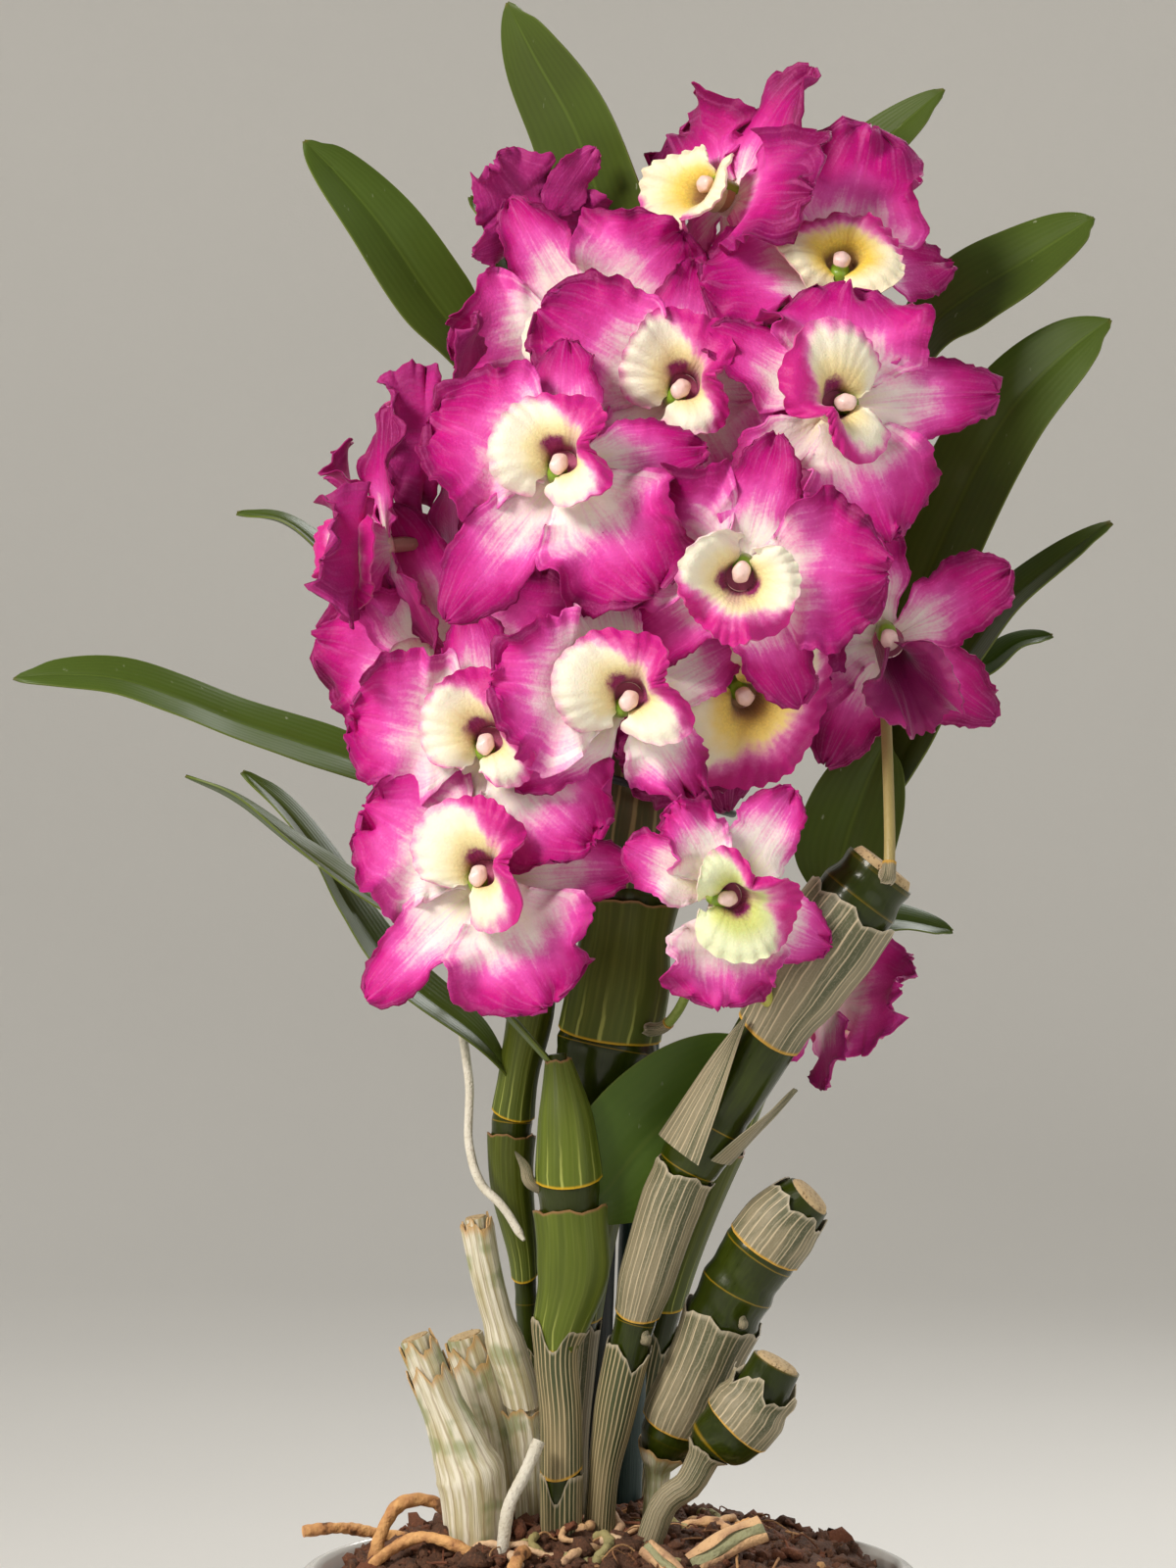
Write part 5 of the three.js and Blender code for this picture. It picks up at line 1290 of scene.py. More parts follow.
def wander(rng, x, y, length, swing, lift):
    """A crooked line over the mix from a place, in millimetres; None where it would leave the pot."""
    heading, phase = rng.uniform(0, 2 * math.pi), rng.uniform(0, 2 * math.pi)
    line = []
    for step in range(6):
        line.append((x, y, mix_height(x, y) + lift + 1.4 * math.sin(step * 1.3 + phase)))
        heading += rng.normal(0, swing)
        x, y = x + length / 5 * math.cos(heading), y + length / 5 * math.sin(heading)
        if math.hypot(x, y) > MIX_RADIUS - 4:
            return None
    return Line(line)


def fibre(piece, rng):
    """A hair of root or coir, half on and half in the mix."""
    line = wander(rng, *place_in_pot(rng, 0.8), rng.uniform(8, 22), 0.5, 1.0)
    girth, tone = rng.uniform(0.18, 0.42) * MM, rng.uniform(0.4, 1)
    if line:
        piece.tube(line, np.linspace(0, 1, 14), girth, "crumb", 6, tone=tone)


def rootlet(piece, rng):
    """A short knobbly root near the canes, tan or green."""
    line = wander(rng, rng.normal(-12, 20), rng.normal(-14, 16), rng.uniform(12, 30), 0.7, 0.8)
    girth, green, tan = rng.uniform(0.7, 1.4), rng.uniform() < 0.45, rng.uniform(0.5, 1)
    if line:
        places = np.linspace(0, 1, 34)
        knobs = 1 + 0.14 * np.sin(places * 41) + 0.1 * np.sin(places * 23 + 1)
        ends = np.sqrt(np.clip(np.minimum(places, 1 - places) / 0.04, 0.2, 1))
        radii = girth * MM * knobs * ends
        piece.tube(line, places, radii, "root", 10, tone=tan, mark=0.8 if green else 0.0)


# ---- Canes ----


def grow_stem(piece, name, end):
    """The bare stem: swollen at its nodes, finely ribbed, with a ring painted at each node."""
    line = Line(CANE_LINES[name])
    length = float(np.sum(np.linalg.norm(np.diff(line.at(np.linspace(0, 1, 60)), axis=0), axis=1)))
    places = np.linspace(0, end, int(length / (STEM_STEP * MM)))
    radii, height = cane_radius(name, places), line.at(places)[:, 2] / MM
    mark = np.zeros(len(places))
    for ring in NODE_RINGS.get(name, []):
        near = (height - ring) / 1.5
        mark = np.maximum(mark, np.exp(-(near**2)))
        radii = radii * (1 + 0.045 * np.exp(-(near**2)) - 0.03 * np.exp(-((near - 2.2) ** 2)))

    def ribs(angle, place):
        return 1 + 0.01 * np.sin(9 * angle + 4 * place) + 0.006 * np.sin(17 * angle)

    tone = 0.15 + 0.3 * np.sin(height / 31) ** 2
    piece.tube(line, places, radii, "stem", 22, ribs, mark=mark, tone=tone)
    return line


def cover(piece, name, line, kind, low, high, flare, ragged):
    """One sheath or dry skin round a cane between two heights."""
    ends = [line.place_of_height(z) for z in (low, high)]
    finish, tone = COVER_FINISHES.get(kind, (kind, 0.0))
    thickness = SKIN_THICKNESS if finish in ("papery", "husk") else SHEATH_THICKNESS
    play = (thickness + COVER_PLAY) * MM
    piece.shell(
        line, *ends, lambda t: cane_radius(name, t) * 1.02 + play, finish, thickness,
        rows=max(10, int((high - low) / COVER_STEP)), ragged=ragged, flare=flare,
        seed=low * 0.37 + high * 0.11, dip=DIP_TALL if high - low > COVER_TALL else DIP_SHORT,
        notch=STRIPED_NOTCH if kind == "striped" else 0.0, tone=tone,
    )


def leaf_surface(spec):
    """Points of a leaf's blade, and the shares along and across it."""
    line = Line(spec["line"])
    rows, columns = LEAF_GRID
    u, v = np.linspace(0, 1, rows), np.linspace(-1, 1, columns)
    base, tip = unit(np.array(spec["base"], float)), unit(np.array(spec["tip"], float))
    heading = line.heading(u)
    across = unit(np.cross(heading, base + (tip - base) * u[:, None]))
    up = unit(np.cross(across, heading))
    taper = (1 - np.maximum(0, (u - 0.36) / 0.64) ** 2.5) ** 0.72
    half = (spec["width"] / 2 * MM * (smoothstep(u, -0.12, 0.36) * taper * 0.985 + 0.015))[:, None]
    beak = 1 - 0.22 * np.exp(-(((u - 0.95) / 0.03) ** 2))[:, None] * (v > 0)
    groove = -0.45 * MM * np.exp(-((v / 0.1) ** 2)) * np.minimum(1, 6 * (1 - u))[:, None]
    ripple = 0.7 * MM * np.sin(9 * u + spec["width"])[:, None] * np.abs(v) ** 2 * np.sign(v)
    lift = spec["fold"] * np.sqrt(v**2 + 0.004) * half + groove + ripple
    points = line.at(u)[:, None] + across[:, None] * (v * half * beak)[..., None]
    return points + up[:, None] * lift[..., None], u[:, None], v


def grow_leaves(piece, name):
    """The leaves of a cane: some a little lighter than others, and a fresh one much lighter, partly from
    painted light.
    """
    for k, spec in enumerate(LEAVES):
        if spec["on"] == name:
            points, along, across = leaf_surface(spec)
            tone = spec.get("fresh", 0.3 * ((k * 0.37) % 1))
            piece.blade(points, LEAF_THICKNESS * MM, "leaf", along=along, across=across, tone=tone)


def grow_flaps(piece, name):
    """Dry pointed skins that stand off the cane."""
    for spec in FLAPS:
        if spec["on"] != name:
            continue
        centre, out, radius = place_on(name, spec["z"], spec["angle"])
        above = place_on(name, spec["z"] + 8, spec["angle"])[0]
        heading = unit(above - centre)
        across = unit(np.cross(heading, out))
        u, v = blade_shares(FLAP_GRID)
        half = spec["width"] / 2 * (1 - u) ** 0.8 + 0.3
        off = (spec["lean"] + 0.03) * spec["length"] * u - 0.24 * (v * half) ** 2 / spec["width"]
        off = off - 0.4 + 0.4 * np.sin(7 * u + 3 * v) * u
        up, aside = spec["length"] * u * MM, v * half * MM
        points = centre + heading * up[..., None] + across * aside[..., None]
        points = points + out * (radius + off * MM)[..., None]
        piece.blade(points, HUSK_THICKNESS * MM, "papery", along=u * 0.9, across=v)


def grow_buds(piece, name):
    """Small resting buds at the nodes."""
    for cane, z, angle, length, radius, finish in RESTING_BUDS:
        if cane != name:
            continue
        centre, out, reach = place_on(name, z, angle)
        foot = (centre + out * (reach - 0.5 * MM)) / MM
        rise = (out * 0.55 + np.array([0, 0, 0.85])) * length
        line = Line([foot, foot + out * radius * 0.8 + rise * 0.25, foot + rise * 0.62, foot + rise])
        places = np.linspace(0, 1, 22)
        swell = np.sqrt(np.maximum(0.02, 1 - places**2.2)) * (0.75 + 0.5 * np.sin(math.pi * places))
        piece.tube(line, places, radius * MM * swell * 0.9, finish, 14)


def build_cane(name, leafy):
    """A cane with what covers it; leaves on a leafy one, a cut face on any other."""
    piece = Piece("stem", "sheath", "brown", "papery", "husk", "cut", "leaf", "bud")
    line = grow_stem(piece, name, 1.0 if leafy else CUT_STEM_END)
    for kind, *sizes in COVERS.get(name, []):
        cover(piece, name, line, kind, *sizes)
    if leafy:
        grow_leaves(piece, name)
    else:
        face = np.linspace(*CUT_FACE, len(CUT_ROUNDING))
        piece.tube(line, face, cane_radius(name, face) * CUT_ROUNDING, "cut", 24)
    grow_flaps(piece, name)
    grow_buds(piece, name)
    piece.finish_as(name + "_skinned", [name])


def build_stub(name):
    """An old dry stub: a fibrous core with a cut top, under torn husks."""
    piece = Piece("husk", "cut")
    line = Line(CANE_LINES[name])
    places = np.linspace(0, 0.985, 60)

    def splits(angle, place):
        return 1 + 0.035 * np.sin(7 * angle + 5 * place) + 0.02 * np.sin(15 * angle - 3 * place)

    piece.tube(line, places, cane_radius(name, places) * 0.86, "husk", 28, splits)
    face = np.linspace(0.95, 0.99, 4)
    piece.tube(line, face, cane_radius(name, face) * 0.78, "cut", 20)
    piece.shell(
        line, line.place_of_height(STUB_FOOT), 1.0, lambda t: cane_radius(name, t), "husk", HUSK_THICKNESS,
        rows=30, sides=40, ragged=3.5, flare=0.6, seed=len(name),
    )
    for kind, *sizes in COVERS.get(name, []):
        cover(piece, name, line, kind, *sizes)
    piece.finish_as(name + "_fibrous", [name])


def build_stub_end(name):
    """A split end that lies on the mix: a green core among strips of tan skin."""
    spec = STUB_ENDS[name]
    piece = Piece("root")
    places = np.linspace(0, 1, 40)
    line = Line(spec["line"])

    def splits(angle, place):
        return 1 + 0.09 * np.sin(5 * angle + 4 * place) + 0.05 * np.sin(11 * angle - 6 * place)

    ends = 1 - 0.35 * np.maximum(0, (np.abs(places - 0.5) - 0.44) / 0.06) ** 2
    piece.tube(line, places, spec["radius"] * MM * 0.8 * ends, "root", 24, splits, tone=0.1, mark=0.8)
    u, v = blade_shares(STRIP_GRID, margin=0.01)
    for turn in STRIP_TURNS:
        right, front = line.across(u)
        angle = turn + v * 0.62 * (1 + 0.25 * np.sin(9 * u + turn))
        reach = spec["radius"] * MM * (0.95 + 0.1 * np.sin(6 * u + turn) - 0.08 * v**2)
        out = right * np.sin(angle)[..., None] + front * np.cos(angle)[..., None]
        points = line.at(u) + out * reach[..., None]
        piece.blade(points, HUSK_THICKNESS * MM, "root", along=u, across=v, tone=0.75)
    piece.finish_as(name + "_fibrous", [name])


def build_root(name):
    spec = ROOTS[name]
    piece = Piece("root")
    line, places = Line(spec["line"]), np.linspace(0, 1, 90)
    aerial = name.startswith("aerial")
    knobs = 0.4 if aerial else 1.0

    def lumps(angle, place):
        lump = 0.12 * np.sin(3 * angle + 31 * place) * np.sin(47 * place)
        return 1 + knobs * (lump + 0.09 * np.sin(19 * place))

    tip = np.sqrt(np.clip((1 - places) / 0.03, 0.15, 1))
    piece.tube(line, places, spec["radius"] * MM * tip, "root", 16, lumps, tone=0.0 if aerial else 0.95)
    piece.finish_as(name + "_grown", [name])


# ---- Stakes and ring ----


def build_stake(name):
    piece = Piece("stake")
    places = np.concatenate([[0, 0.004], np.linspace(0.02, 0.985, 60), [0.99, 0.994, 0.997, 0.999, 1.0]])
    rounding = np.sqrt(1 - np.clip((places - 0.985) / 0.0153, 0, 0.96) ** 2)

    def ribs(angle, place):
        return 1 + 0.006 * np.sin(12 * angle) + 0.004 * np.sin(160 * place)

    line, tone = straight(*STAKES[name]["ends"]), STAKES[name]["green"]
    piece.tube(line, places, STAKE_RADIUS * MM * rounding, "stake", 36, ribs, tone=tone)
    piece.finish_as(name + "_coated", [name])


def build_ring():
    """The wire hoop, its sleeve on the green stake and the bar between them."""
    piece = Piece("hoop")
    rows, columns = HOOP_STEPS
    turn = steps_round(rows)[:, None]
    section = steps_round(columns)[None, :]
    radius = HOOP_RADIUS + HOOP_WIRE * np.cos(section)
    x, y, z = radius * np.cos(turn), radius * np.sin(turn), HOOP_WIRE * np.sin(section) + 0 * turn
    hoop = turned(np.stack([x, y, z], -1).reshape(-1, 3), 0, HOOP_TILT) + HOOP_CENTRE
    faces = grid_faces(rows + 1, columns, closed=True)[:, ::-1] % (rows * columns)
    piece.add(hoop * MM, faces, "hoop")
    foot, head = (np.array(end, float) for end in STAKES["stake_green"]["ends"])
    heading = unit(head - foot)
    seat = foot + heading * (SLEEVE_HEIGHT - foot[2]) / heading[2]
    sleeve = straight(seat - heading * SLEEVE_REACH, seat + heading * SLEEVE_REACH)
    radius = (STAKE_RADIUS + SLEEVE_PLAY + SLEEVE_WALL) * MM
    piece.shell(sleeve, 0, 1, lambda t: np.full(np.shape(t), radius), "hoop", SLEEVE_WALL, rows=9)
    end = (BAR_END, HOOP_CENTRE[1] + HOOP_RADIUS - 0.2, SLEEVE_HEIGHT)
    bar = straight(seat + np.array([0, STAKE_RADIUS + 1.4, 0]), end)
    piece.tube(bar, np.linspace(0, 1, 12), BAR_RADIUS * MM, "hoop", 16)
    piece.finish_as("support_ring_wire", ["support_ring"])


# ---- Blooms ----


class Bloom:
    """A bloom's own frame and sizes: x along the lip, z out of the flower."""

    def __init__(self, name):
        spec = BLOOMS[name]
        self.name, self.spec = name, spec
        self.size = spec.get("size", 1)
        self.at = np.array(spec["at"], float)
        yaw, pitch, turn = (math.radians(spec[key]) for key in ("yaw", "pitch", "lipTurn"))
        level = math.cos(pitch)
        self.out = np.array([math.sin(yaw) * level, -math.cos(yaw) * level, math.sin(pitch)])
        right = unit(np.cross([0, 0, 1], self.out))
        up = np.cross(self.out, right)
        self.lip = right * math.cos(turn) + up * math.sin(turn)
        self.side = np.cross(self.out, self.lip)
        self.white, self.depth, self.margin, self.warmth = BLOOM_TONES[name]
        self.phase = int(name[-2:]) * 1.7

    def world(self, local):
        """Places of the bloom's frame, in millimetres, as places of the plant, in metres."""
        x, y, z = np.moveaxis(np.asarray(local), -1, 0)[..., None]
        return (self.at + (self.lip * x + self.side * y + self.out * z) * self.size) * MM


def turning_line(length, rise, fall, u):
    """How far along and above a line is that leaves at one slope and ends at another one, in degrees, and
    its slopes between them, in radians."""
    start, turn = math.radians(rise), math.radians(fall - rise)
    slope = start + turn * u
    along = length * (np.sin(slope) - math.sin(start)) / turn
    return along, length * (math.cos(start) - np.cos(slope)) / turn, slope


def margin_waves(phase, u, v, share):
    """Ruffle of a petal's margin, in millimetres: it runs on round the tip, with sharp ridges."""
    turn = np.arctan2(v * share, 1.5 * u - 0.6)
    near = np.maximum(np.abs(v), np.clip((u - 0.6) / 0.4, 0, 1))
    wide = 3.7 * near**2.2 * np.sin(4.3 * turn + phase)
    middle = 2.9 * near**3.2 * (1 - 2 * np.abs(np.sin(5.2 * turn + 2.3 * phase + 0.6 * np.sin(3 * turn))))
    small = 0.8 * near**6 * np.sin(27 * turn + 1.7 * phase + 1.5 * np.sin(5 * turn + phase))
    return (wide + middle + small) * np.minimum(1, 3 * u) * np.minimum(1, 1.9 * share)


def segment_surface(bloom, spec):
    """A petal or sepal: the frame's own form, twisted a little, with a ruffled margin."""
    looks = bpy.context.scene.orchid_blooms
    u, v = blade_shares(spec["grid"])
    v = np.sin(v * math.pi / 2)
    bearing = math.radians(spec["bearing"])
    along, above, slope = turning_line(spec["length"], spec["rise"], spec["fall"], u)
    share = spec["foot"] + (1 - spec["foot"]) * smoothstep(u, 0, spec["opens"])
    share = share * np.sqrt(1 - 0.985 * np.maximum(0, (u - 0.42) / 0.58) ** spec["point"])
    half = spec["width"] / 2 * share
    phase = bloom.phase + spec["bearing"] * 0.05
    ruffle = looks.ruffle / MM * spec["wave"] / PETAL["wave"]
    waves = ruffle * margin_waves(bloom.phase * 3.1 + spec["phase"], u, v, share)
    crease = -0.9 * np.exp(-((v / 0.12) ** 2)) * (1 - u)
    crease = crease + 0.5 * np.sin(9 * v + phase) * u * (1 - np.abs(v))
    twist = 0.26 * math.sin(2.7 * phase) * u * v * half
    lift = 0.1 * v**2 * half + waves + crease + twist
    nick = 0.26 * np.sin(70 * u + 3 * phase) * np.abs(v) ** 9 + 0.3 * np.sin(16 * v + phase) * u**10
    reach = BLOOM_HUB - 0.9 + along - lift * np.sin(slope)
    reach = reach + 0.4 * np.abs(waves) * np.sin(9 * v + phase) * u + nick
    spread = v * half * (1 + 0.06 * np.sin(9 * u + phase) + 0.04 * np.sin(24 * u + 2 * phase))
    spread = spread - 0.35 * waves * v + nick * np.sign(v)
    outwards = np.array([-math.cos(bearing), -math.sin(bearing), 0])
    sideways = np.array([math.sin(bearing), -math.cos(bearing), 0])
    height = spec["layer"] + above + lift * np.cos(slope)
    points = outwards * reach[..., None] + sideways * spread[..., None]
    return bloom.world(points + np.array([0, 0, 1.0]) * height[..., None]), u, v


def lip_surface(bloom):
    """The lip: a funnel round the column that spreads into a fan on one side and folds inwards on the
    other. Gives its points, the shares along and across it, and how much magenta its margin bears."""
    spec = {**LIP, **bloom.spec.get("lip", {})}
    looks = bpy.context.scene.orchid_blooms
    u, v = blade_shares(LIP_GRID)
    u = u**0.85
    degrees, phase = spec["open"] * v, bloom.phase
    whole = spec["fold"] == WHOLE
    sided = np.abs(degrees) if whole else -math.copysign(1, spec["fold"]) * degrees
    fan, bend = smoothstep(sided, 25, 80), np.exp(-(((degrees - spec["fold"]) / 34) ** 2))
    flank, corner = smoothstep(np.abs(degrees), 90, 165), smoothstep(np.abs(v), 0.84, 1.02)
    knee = 0.5 - 0.18 * fan + 0.24 * bend
    opened = smoothstep((u - knee) / 0.36, -1, 1)
    inwards = 40 * bend * smoothstep(u, 0.12, 0.4) * (1 - smoothstep(u, 0.55, 0.8))
    slope = np.radians(spec["from"] + (spec["to"] + 14 * flank - spec["from"]) * opened - inwards)
    step = spec["reach"] * (1 - 0.26 * flank) * (1 - 0.42 * corner) * np.gradient(u, axis=0)
    radius = spec["throat"] + np.cumsum(np.sin(slope) * step, axis=0)
    radius = THROAT_ROOM + THROAT_EASE * np.logaddexp(0, (radius - THROAT_ROOM) / THROAT_EASE)
    rise = np.cumsum(np.cos(slope) * step, axis=0)
    pleats = np.sin(84 * v + 2.5 * np.sin(6 * v + phase)) * (0.75 + 0.25 * np.sin(11 * v + 2 * phase))
    folds = np.sin(8.5 * v + phase + 0.9 * np.sin(5 * v + phase)) * u**2.5
    crimp = (1 - 2 * np.abs(np.sin(9 * v + 2 * phase + np.sin(4 * v)))) * u**5
    frill = looks.ruffle / MM * (0.4 * u**7 + 0.1 * u**2 * fan) * pleats
    radius = radius * (1 + 0.08 * u**2 * np.sin(5 * v + 2 * phase)) + 0.35 * u**8 * pleats - 0.7 * crimp
    rise = rise + spec["wave"] * (1.5 * folds + 1.1 * crimp) + frill - 1.6 * smoothstep(u, 0.8, 1)
    swing = (7 * np.sin(6 * u + phase) + 3 * np.sin(19 * u + 2 * phase)) * u * corner * np.sign(v)
    turn = np.radians(degrees + swing)
    rise = rise + 1.6 * corner * np.sin(5 * u + 2 * phase) * u
    x, y = radius * np.cos(turn), radius * np.sin(turn)
    tilt = math.radians(spec["tilt"])
    across = x * math.cos(tilt) + rise * math.sin(tilt) + 0.4
    out = rise * math.cos(tilt) - x * math.sin(tilt) + 2.6
    centre = 0 if whole else 0.45 * spec["fold"]
    margin = bloom.margin - 1.1 * smoothstep(np.abs(degrees - centre), 50, 105)
    return bloom.world(np.stack([across, y, out], -1)), u, v, margin


def along_out(bloom, start, end):
    """A straight line on the bloom's axis from one height over the hub's middle to another."""
    return straight(*(bloom.at + bloom.out * bloom.size * z for z in (start, end)))


def stalk_line(bloom):
    """The stalk's bend from behind the bloom to its seat on the cane."""
    cane, z, angle = bloom.spec["on"]
    centre, seat_out, radius = place_on(cane, z, angle)
    seat = centre / MM + seat_out * (radius / MM - 0.4)
    start = bloom.at - bloom.out * 0.4
    span = np.linalg.norm(seat - start)
    bends = [start, start - bloom.out * span * 0.42, seat + seat_out * span * 0.3, seat]
    t = np.linspace(0, 1, 9)[:, None]
    weights = [(1 - t) ** 3, 3 * (1 - t) ** 2 * t, 3 * (1 - t) * t**2, t**3]
    return Line(sum(weight * bend for weight, bend in zip(weights, bends)))


def segment_spec(bloom, kind):
    """Sizes of a petal or sepal, with the bloom's own ones in place."""
    spec = {**SEGMENTS[kind], **bloom.spec.get(kind, {})}
    lift = spec.get("lift", 0)
    return {**spec, "rise": spec["rise"] + lift, "fall": spec["fall"] + lift}


def build_bloom(name):
    """Petals and sepals round the hub, and the stalk with its bract; then the lip."""
    bloom = Bloom(name)
    size = bloom.size * MM
    thickness = bpy.context.scene.orchid_blooms.thickness * bloom.size
    petals = Piece("petal", "stalk", "papery")
    tones = {"white": bloom.white, "tone": bloom.depth}
    for kind in SEGMENTS:
        points, along, across = segment_surface(bloom, segment_spec(bloom, kind))
        petals.blade(points, thickness, "petal", along=along, across=across, **tones)
    places = np.linspace(0, 1, 9)
    bulge = np.sqrt(np.maximum(0, 1 - (0.96 * (2 * places - 1)) ** 2)) * 0.35 + 0.65
    hub = along_out(bloom, -HUB_REACH, HUB_REACH)
    petals.tube(hub, places, BLOOM_HUB * size * bulge, "petal", 28, white=1.7)
    grow_stalk(petals, bloom)
    petals.finish_as(name + "_petals_ruffled", [name + "_petals"], sharp=80)
    build_lip(bloom, thickness)


def grow_stalk(piece, bloom):
    """The stalk, thicker under the bloom and at its seat, with a papery bract at its foot."""
    size = bloom.size * MM
    line, places = stalk_line(bloom), np.linspace(0, 1, 46)
    under_bloom, seat = np.exp(-((places - 0.06) / 0.1) ** 2), np.exp(-((places - 0.97) / 0.05) ** 2)
    girth = 1 + under_bloom * 0.7 / 1.5 + seat / 6

    def ribs(angle, place):
        return 1 + 0.08 * np.sin(6 * angle + 2 * place) * (1 - place)

    age = bloom.spec.get("oldStalk", 0.0)
    piece.tube(line, places, STALK_RADIUS * size * girth, "stalk", 18, ribs, tone=age)
    piece.shell(
        line, *BRACT_ENDS, lambda t: np.full(np.shape(t), BRACT_RADIUS * size), "papery", SKIN_THICKNESS,
        rows=8, sides=20, ragged=1.2, flare=0.5, seed=bloom.phase,
    )


def build_lip(bloom, thickness):
    """The frilled lip and the column in its throat."""
    cup = Piece("lip", "column")
    points, along, across, margin = lip_surface(bloom)
    tones = {"tone": bloom.margin > DARK_MARGIN, "white": margin, "mark": bloom.warmth}
    cup.blade(points, thickness, "lip", along=along, across=across, **tones)
    floor = along_out(bloom, *THROAT_FLOOR_ENDS)
    radius = THROAT_FLOOR * MM * bloom.size
    cup.tube(floor, [0, 0.5, 1], radius, "lip", 24, along=0.0, inner=1.0, mark=bloom.warmth)
    radii, heights = rounded(COLUMN, 34).T

    def flattened(angle, place):
        return 1 + 0.13 * np.cos(2 * angle) + 0.05 * np.sin(5 * angle) * place

    places = (heights - heights[0]) / (heights[-1] - heights[0])
    lean = Line([bloom.world(point) / MM for point in COLUMN_LEAN])
    cup.tube(lean, places, np.maximum(radii, 0.1 * MM) * bloom.size, "column", 24, flattened)
    cup.finish_as(bloom.name + "_lip_frilled", [bloom.name + "_lip"], sharp=80)


# ---- Settings ----


def colour_of(label, text, default):
    """A colour setting; the default is as seen on screen, 0 to 255."""
    return FloatVectorProperty(
        name=label, description=text, default=shade(*default), size=4, min=0, max=1, subtype="COLOR"
    )


def count_of(label, text, default, least=0):
    return IntProperty(name=label, description=text, default=default, min=least)


def height_of(label, text, default):
    """A small length setting; the default is in millimetres."""
    return FloatProperty(
        name=label, description=text, default=default * MM, min=0, subtype="DISTANCE", unit="LENGTH"
    )


class OrchidPotSettings(bpy.types.PropertyGroup):
    glaze: colour_of("Glaze", "Colour of the pot's glaze", (224, 224, 219))
    sides: count_of("Sides", "Steps round the pot", 144, least=24)


class OrchidMixSettings(bpy.types.PropertyGroup):
    colour: colour_of("Mix", "Lighter colour of the damp potting mix", (122, 82, 58))
    crumbs: count_of("Crumbs", "Loose crumbs on the mix", 1500)
    chips: count_of("Bark chips", "Flakes of bark on the mix", 26)
    fibres: count_of("Fibres", "Thin fibres on the mix", 90)
    rootlets: count_of("Rootlets", "Short roots over the mix", 26)
    seed: count_of("Seed", "Another number strews them otherwise", 11)


class OrchidCaneSettings(bpy.types.PropertyGroup):
    stem: colour_of("Stem", "Deep green of the bare stem between its sheaths", (30, 40, 0))
    sheath: colour_of("Sheath", "Olive of the living sheaths", (76, 83, 14))
    dry: colour_of("Dry skin", "Grey beige of the papery skins", (142, 132, 104))
    leaf: colour_of("Leaf", "Green of the leaves", (43, 52, 3))


class OrchidBloomSettings(bpy.types.PropertyGroup):
    pale: colour_of("Middle", "White of the bloom's middle", (250, 238, 234))
    pink: colour_of("Pink", "Pink between the white and the magenta", (236, 92, 190))
    magenta: colour_of("Magenta", "Outer colour of petals and sepals", (202, 0, 132))
    deep: colour_of("Deep magenta", "Margins of the deepest petals", (134, 0, 84))
    cream: colour_of("Cream", "Wide part of the lip", (250, 242, 222))
    yellow: colour_of("Yellow", "Inner part of the lip", (242, 226, 168))
    maroon: colour_of("Maroon", "Marks in the throat of the lip", (136, 4, 92))
    thickness: height_of("Thickness", "Thickness of petals and lips", 0.7)
    ruffle: height_of("Ruffle", "Height of the ruffle at the margins", 1.2)


class OrchidStageSettings(bpy.types.PropertyGroup):
    floor: colour_of("Floor", "Colour of the floor and backdrop", (222, 220, 215))
    lens: FloatProperty(
        name="Lens", description="Focal length on a 36 mm long side", default=104.2, unit="CAMERA"
    )
    eye: FloatVectorProperty(
        name="Eye", description="Where the camera stands", default=(-5.25 * MM, -1157.5 * MM, 340 * MM),
        size=3, subtype="TRANSLATION", unit="LENGTH",
    )
    key: FloatProperty(
        name="Key light", description="Power of the large soft light", default=24.4, unit="POWER"
    )
    sky: FloatProperty(name="Room light", description="Even light from all round", default=0.15, min=0)


# ---- Operators ----


class ORCHID_OT_stage(bpy.types.Operator):
    """Sets up the camera, the soft lights, the floor and the backdrop"""

    bl_idname = "orchid.stage"
    bl_label = "Stage"

    def execute(self, context):
        looks = context.scene.orchid_stage
        context.scene.view_settings.view_transform = "Standard"
        camera = bpy.data.objects.new("camera", bpy.data.cameras.new("camera"))
        camera.location = looks.eye
        camera.rotation_euler = (math.radians(90), 0, 0)
        camera.data.lens = looks.lens
        camera.data.clip_start, camera.data.clip_end = 0.01, 30
        context.scene.collection.objects.link(camera)
        context.scene.camera = camera
        lay_backdrop()
        for name, (place, width, share, tint) in LIGHTS.items():
            hang_light(name, place, width, looks.key * share, tint)
        world = context.scene.world or bpy.data.worlds.new("studio")
        context.scene.world = world
        world.use_nodes = True
        sky = world.node_tree.nodes["Background"]
        sky.inputs["Color"].default_value = SKY_TINT
        sky.inputs["Strength"].default_value = looks.sky
        return {"FINISHED"}


def lay_backdrop():
    """A round pale floor that sweeps up all round into a wall."""
    *inner, flat = FLOOR_RADII
    curve = np.linspace(0, math.pi / 2, 12)
    bend = zip(flat + FLOOR_BEND * np.sin(curve), FLOOR_BEND * (1 - np.cos(curve)))
    outline = [*((radius, 0) for radius in inner), *bend, (flat + FLOOR_BEND, FLOOR_WALL)]
    points = revolved(np.array(outline), FLOOR_SIDES) - np.array([0, 0, FLOOR_DROP])
    faces = [*grid_faces(len(points), FLOOR_SIDES, closed=True).tolist(), list(range(FLOOR_SIDES))]
    mesh_object("floor", points.reshape(-1, 3), faces, ["floor"])


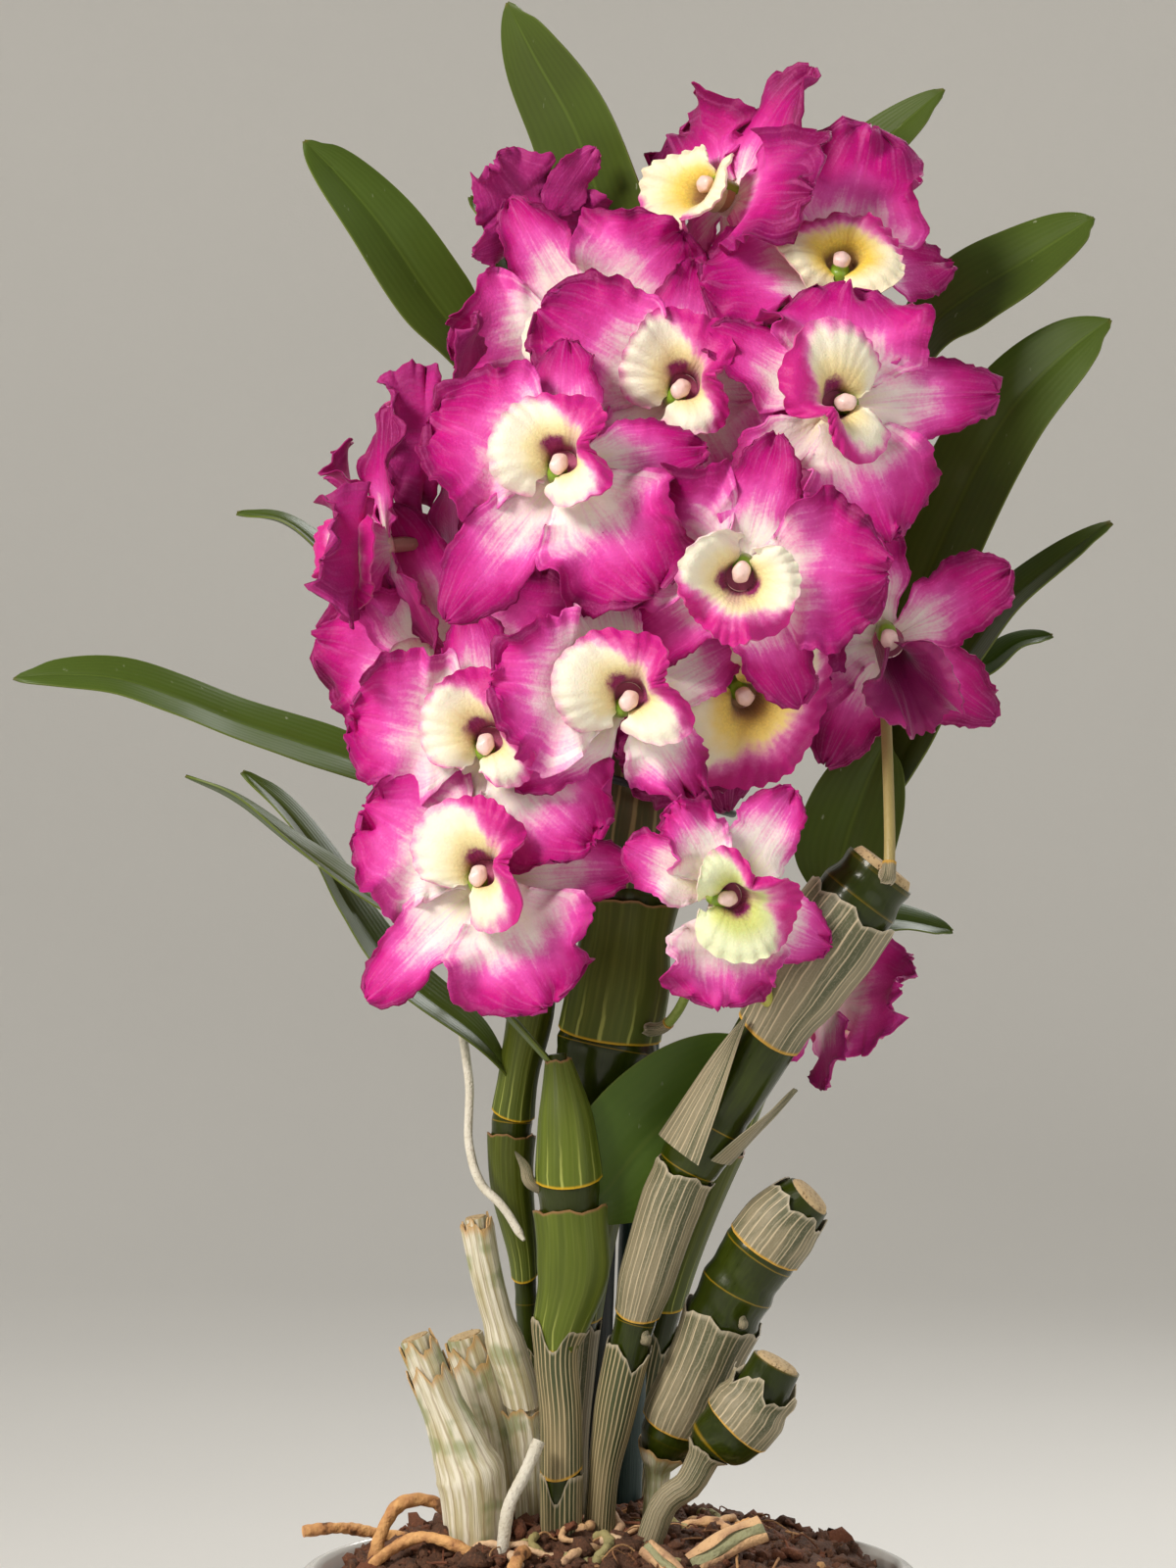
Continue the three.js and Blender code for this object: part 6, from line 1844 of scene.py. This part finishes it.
def hang_light(name, place, width, power, tint):
    light = bpy.data.lights.new(name, "AREA")
    light.shape, light.size, light.energy, light.color = "DISK", width, power, tint
    lamp = bpy.data.objects.new(name, light)
    lamp.location = place
    lamp.rotation_euler = (Vector(LIT_PLACE) - Vector(place)).to_track_quat("-Z", "Y").to_euler()
    bpy.context.scene.collection.objects.link(lamp)


class ORCHID_OT_pot(bpy.types.Operator):
    """Turns the glazed pot with its rolled rim and drain holes"""

    bl_idname = "orchid.pot"
    bl_label = "Pot"

    def execute(self, context):
        build_pot()
        return {"FINISHED"}


class ORCHID_OT_mix(bpy.types.Operator):
    """Heaps the potting mix and strews crumbs, bark and fibres over it"""

    bl_idname = "orchid.mix"
    bl_label = "Potting mix"

    def execute(self, context):
        build_mix()
        return {"FINISHED"}


class ORCHID_OT_leafy_canes(bpy.types.Operator):
    """Grows the living canes with their sheaths and leaves"""

    bl_idname = "orchid.leafy_canes"
    bl_label = "Leafy canes"

    def execute(self, context):
        for name in LEAFY_CANES:
            build_cane(name, leafy=True)
        return {"FINISHED"}


class ORCHID_OT_cut_canes(bpy.types.Operator):
    """Grows the canes that were cut off, in their dry skins"""

    bl_idname = "orchid.cut_canes"
    bl_label = "Cut canes"

    def execute(self, context):
        for name in CUT_CANES:
            build_cane(name, leafy=False)
        return {"FINISHED"}


class ORCHID_OT_stubs(bpy.types.Operator):
    """Makes the old dry stubs and the split ends that lie on the mix"""

    bl_idname = "orchid.stubs"
    bl_label = "Dry stubs"

    def execute(self, context):
        for name in CANE_LINES:
            if name.startswith("dry"):
                build_stub(name)
        for name in STUB_ENDS:
            build_stub_end(name)
        return {"FINISHED"}


class ORCHID_OT_roots(bpy.types.Operator):
    """Grows the aerial roots and those that run over the mix"""

    bl_idname = "orchid.roots"
    bl_label = "Roots"

    def execute(self, context):
        for name in ROOTS:
            build_root(name)
        return {"FINISHED"}


class ORCHID_OT_stakes(bpy.types.Operator):
    """Makes the two coated stakes"""

    bl_idname = "orchid.stakes"
    bl_label = "Stakes"

    def execute(self, context):
        for name in STAKES:
            build_stake(name)
        return {"FINISHED"}


class ORCHID_OT_ring(bpy.types.Operator):
    """Bends the support ring with its sleeve on the green stake"""

    bl_idname = "orchid.ring"
    bl_label = "Support ring"

    def execute(self, context):
        build_ring()
        return {"FINISHED"}


class ORCHID_OT_blooms(bpy.types.Operator):
    """Grows every bloom: ruffled petals, sepals, stalk, frilled lip and column"""

    bl_idname = "orchid.blooms"
    bl_label = "Blooms"

    def execute(self, context):
        for name in BLOOMS:
            build_bloom(name)
        return {"FINISHED"}


class ORCHID_PT_panel(bpy.types.Panel):
    """Lists the orchid's operators"""

    bl_label = "Potted orchid"
    bl_idname = "ORCHID_PT_panel"
    bl_space_type = "VIEW_3D"
    bl_region_type = "UI"
    bl_category = "Orchid"

    def draw(self, context):
        for step in STEPS:
            self.layout.operator(step.bl_idname)
        for group in SETTINGS:
            looks = getattr(context.scene, group)
            box = self.layout.box()
            for name in looks.bl_rna.properties.keys():
                if name not in ("name", "rna_type"):
                    box.prop(looks, name)


STEPS = (
    ORCHID_OT_stage, ORCHID_OT_pot, ORCHID_OT_mix, ORCHID_OT_leafy_canes, ORCHID_OT_cut_canes,
    ORCHID_OT_stubs, ORCHID_OT_roots, ORCHID_OT_stakes, ORCHID_OT_ring, ORCHID_OT_blooms,
)
SETTINGS = {
    "orchid_stage": OrchidStageSettings, "orchid_pot": OrchidPotSettings, "orchid_mix": OrchidMixSettings,
    "orchid_canes": OrchidCaneSettings, "orchid_blooms": OrchidBloomSettings,
}


def register():
    for group in (*SETTINGS.values(), *STEPS, ORCHID_PT_panel):
        bpy.utils.register_class(group)
    for name, group in SETTINGS.items():
        setattr(bpy.types.Scene, name, PointerProperty(type=group))


def unregister():
    for name in SETTINGS:
        delattr(bpy.types.Scene, name)
    for group in reversed((*SETTINGS.values(), *STEPS, ORCHID_PT_panel)):
        bpy.utils.unregister_class(group)


def main():
    register()
    for step in STEPS:
        family, action = step.bl_idname.split(".")
        getattr(getattr(bpy.ops, family), action)()


if __name__ == "__main__":
    main()
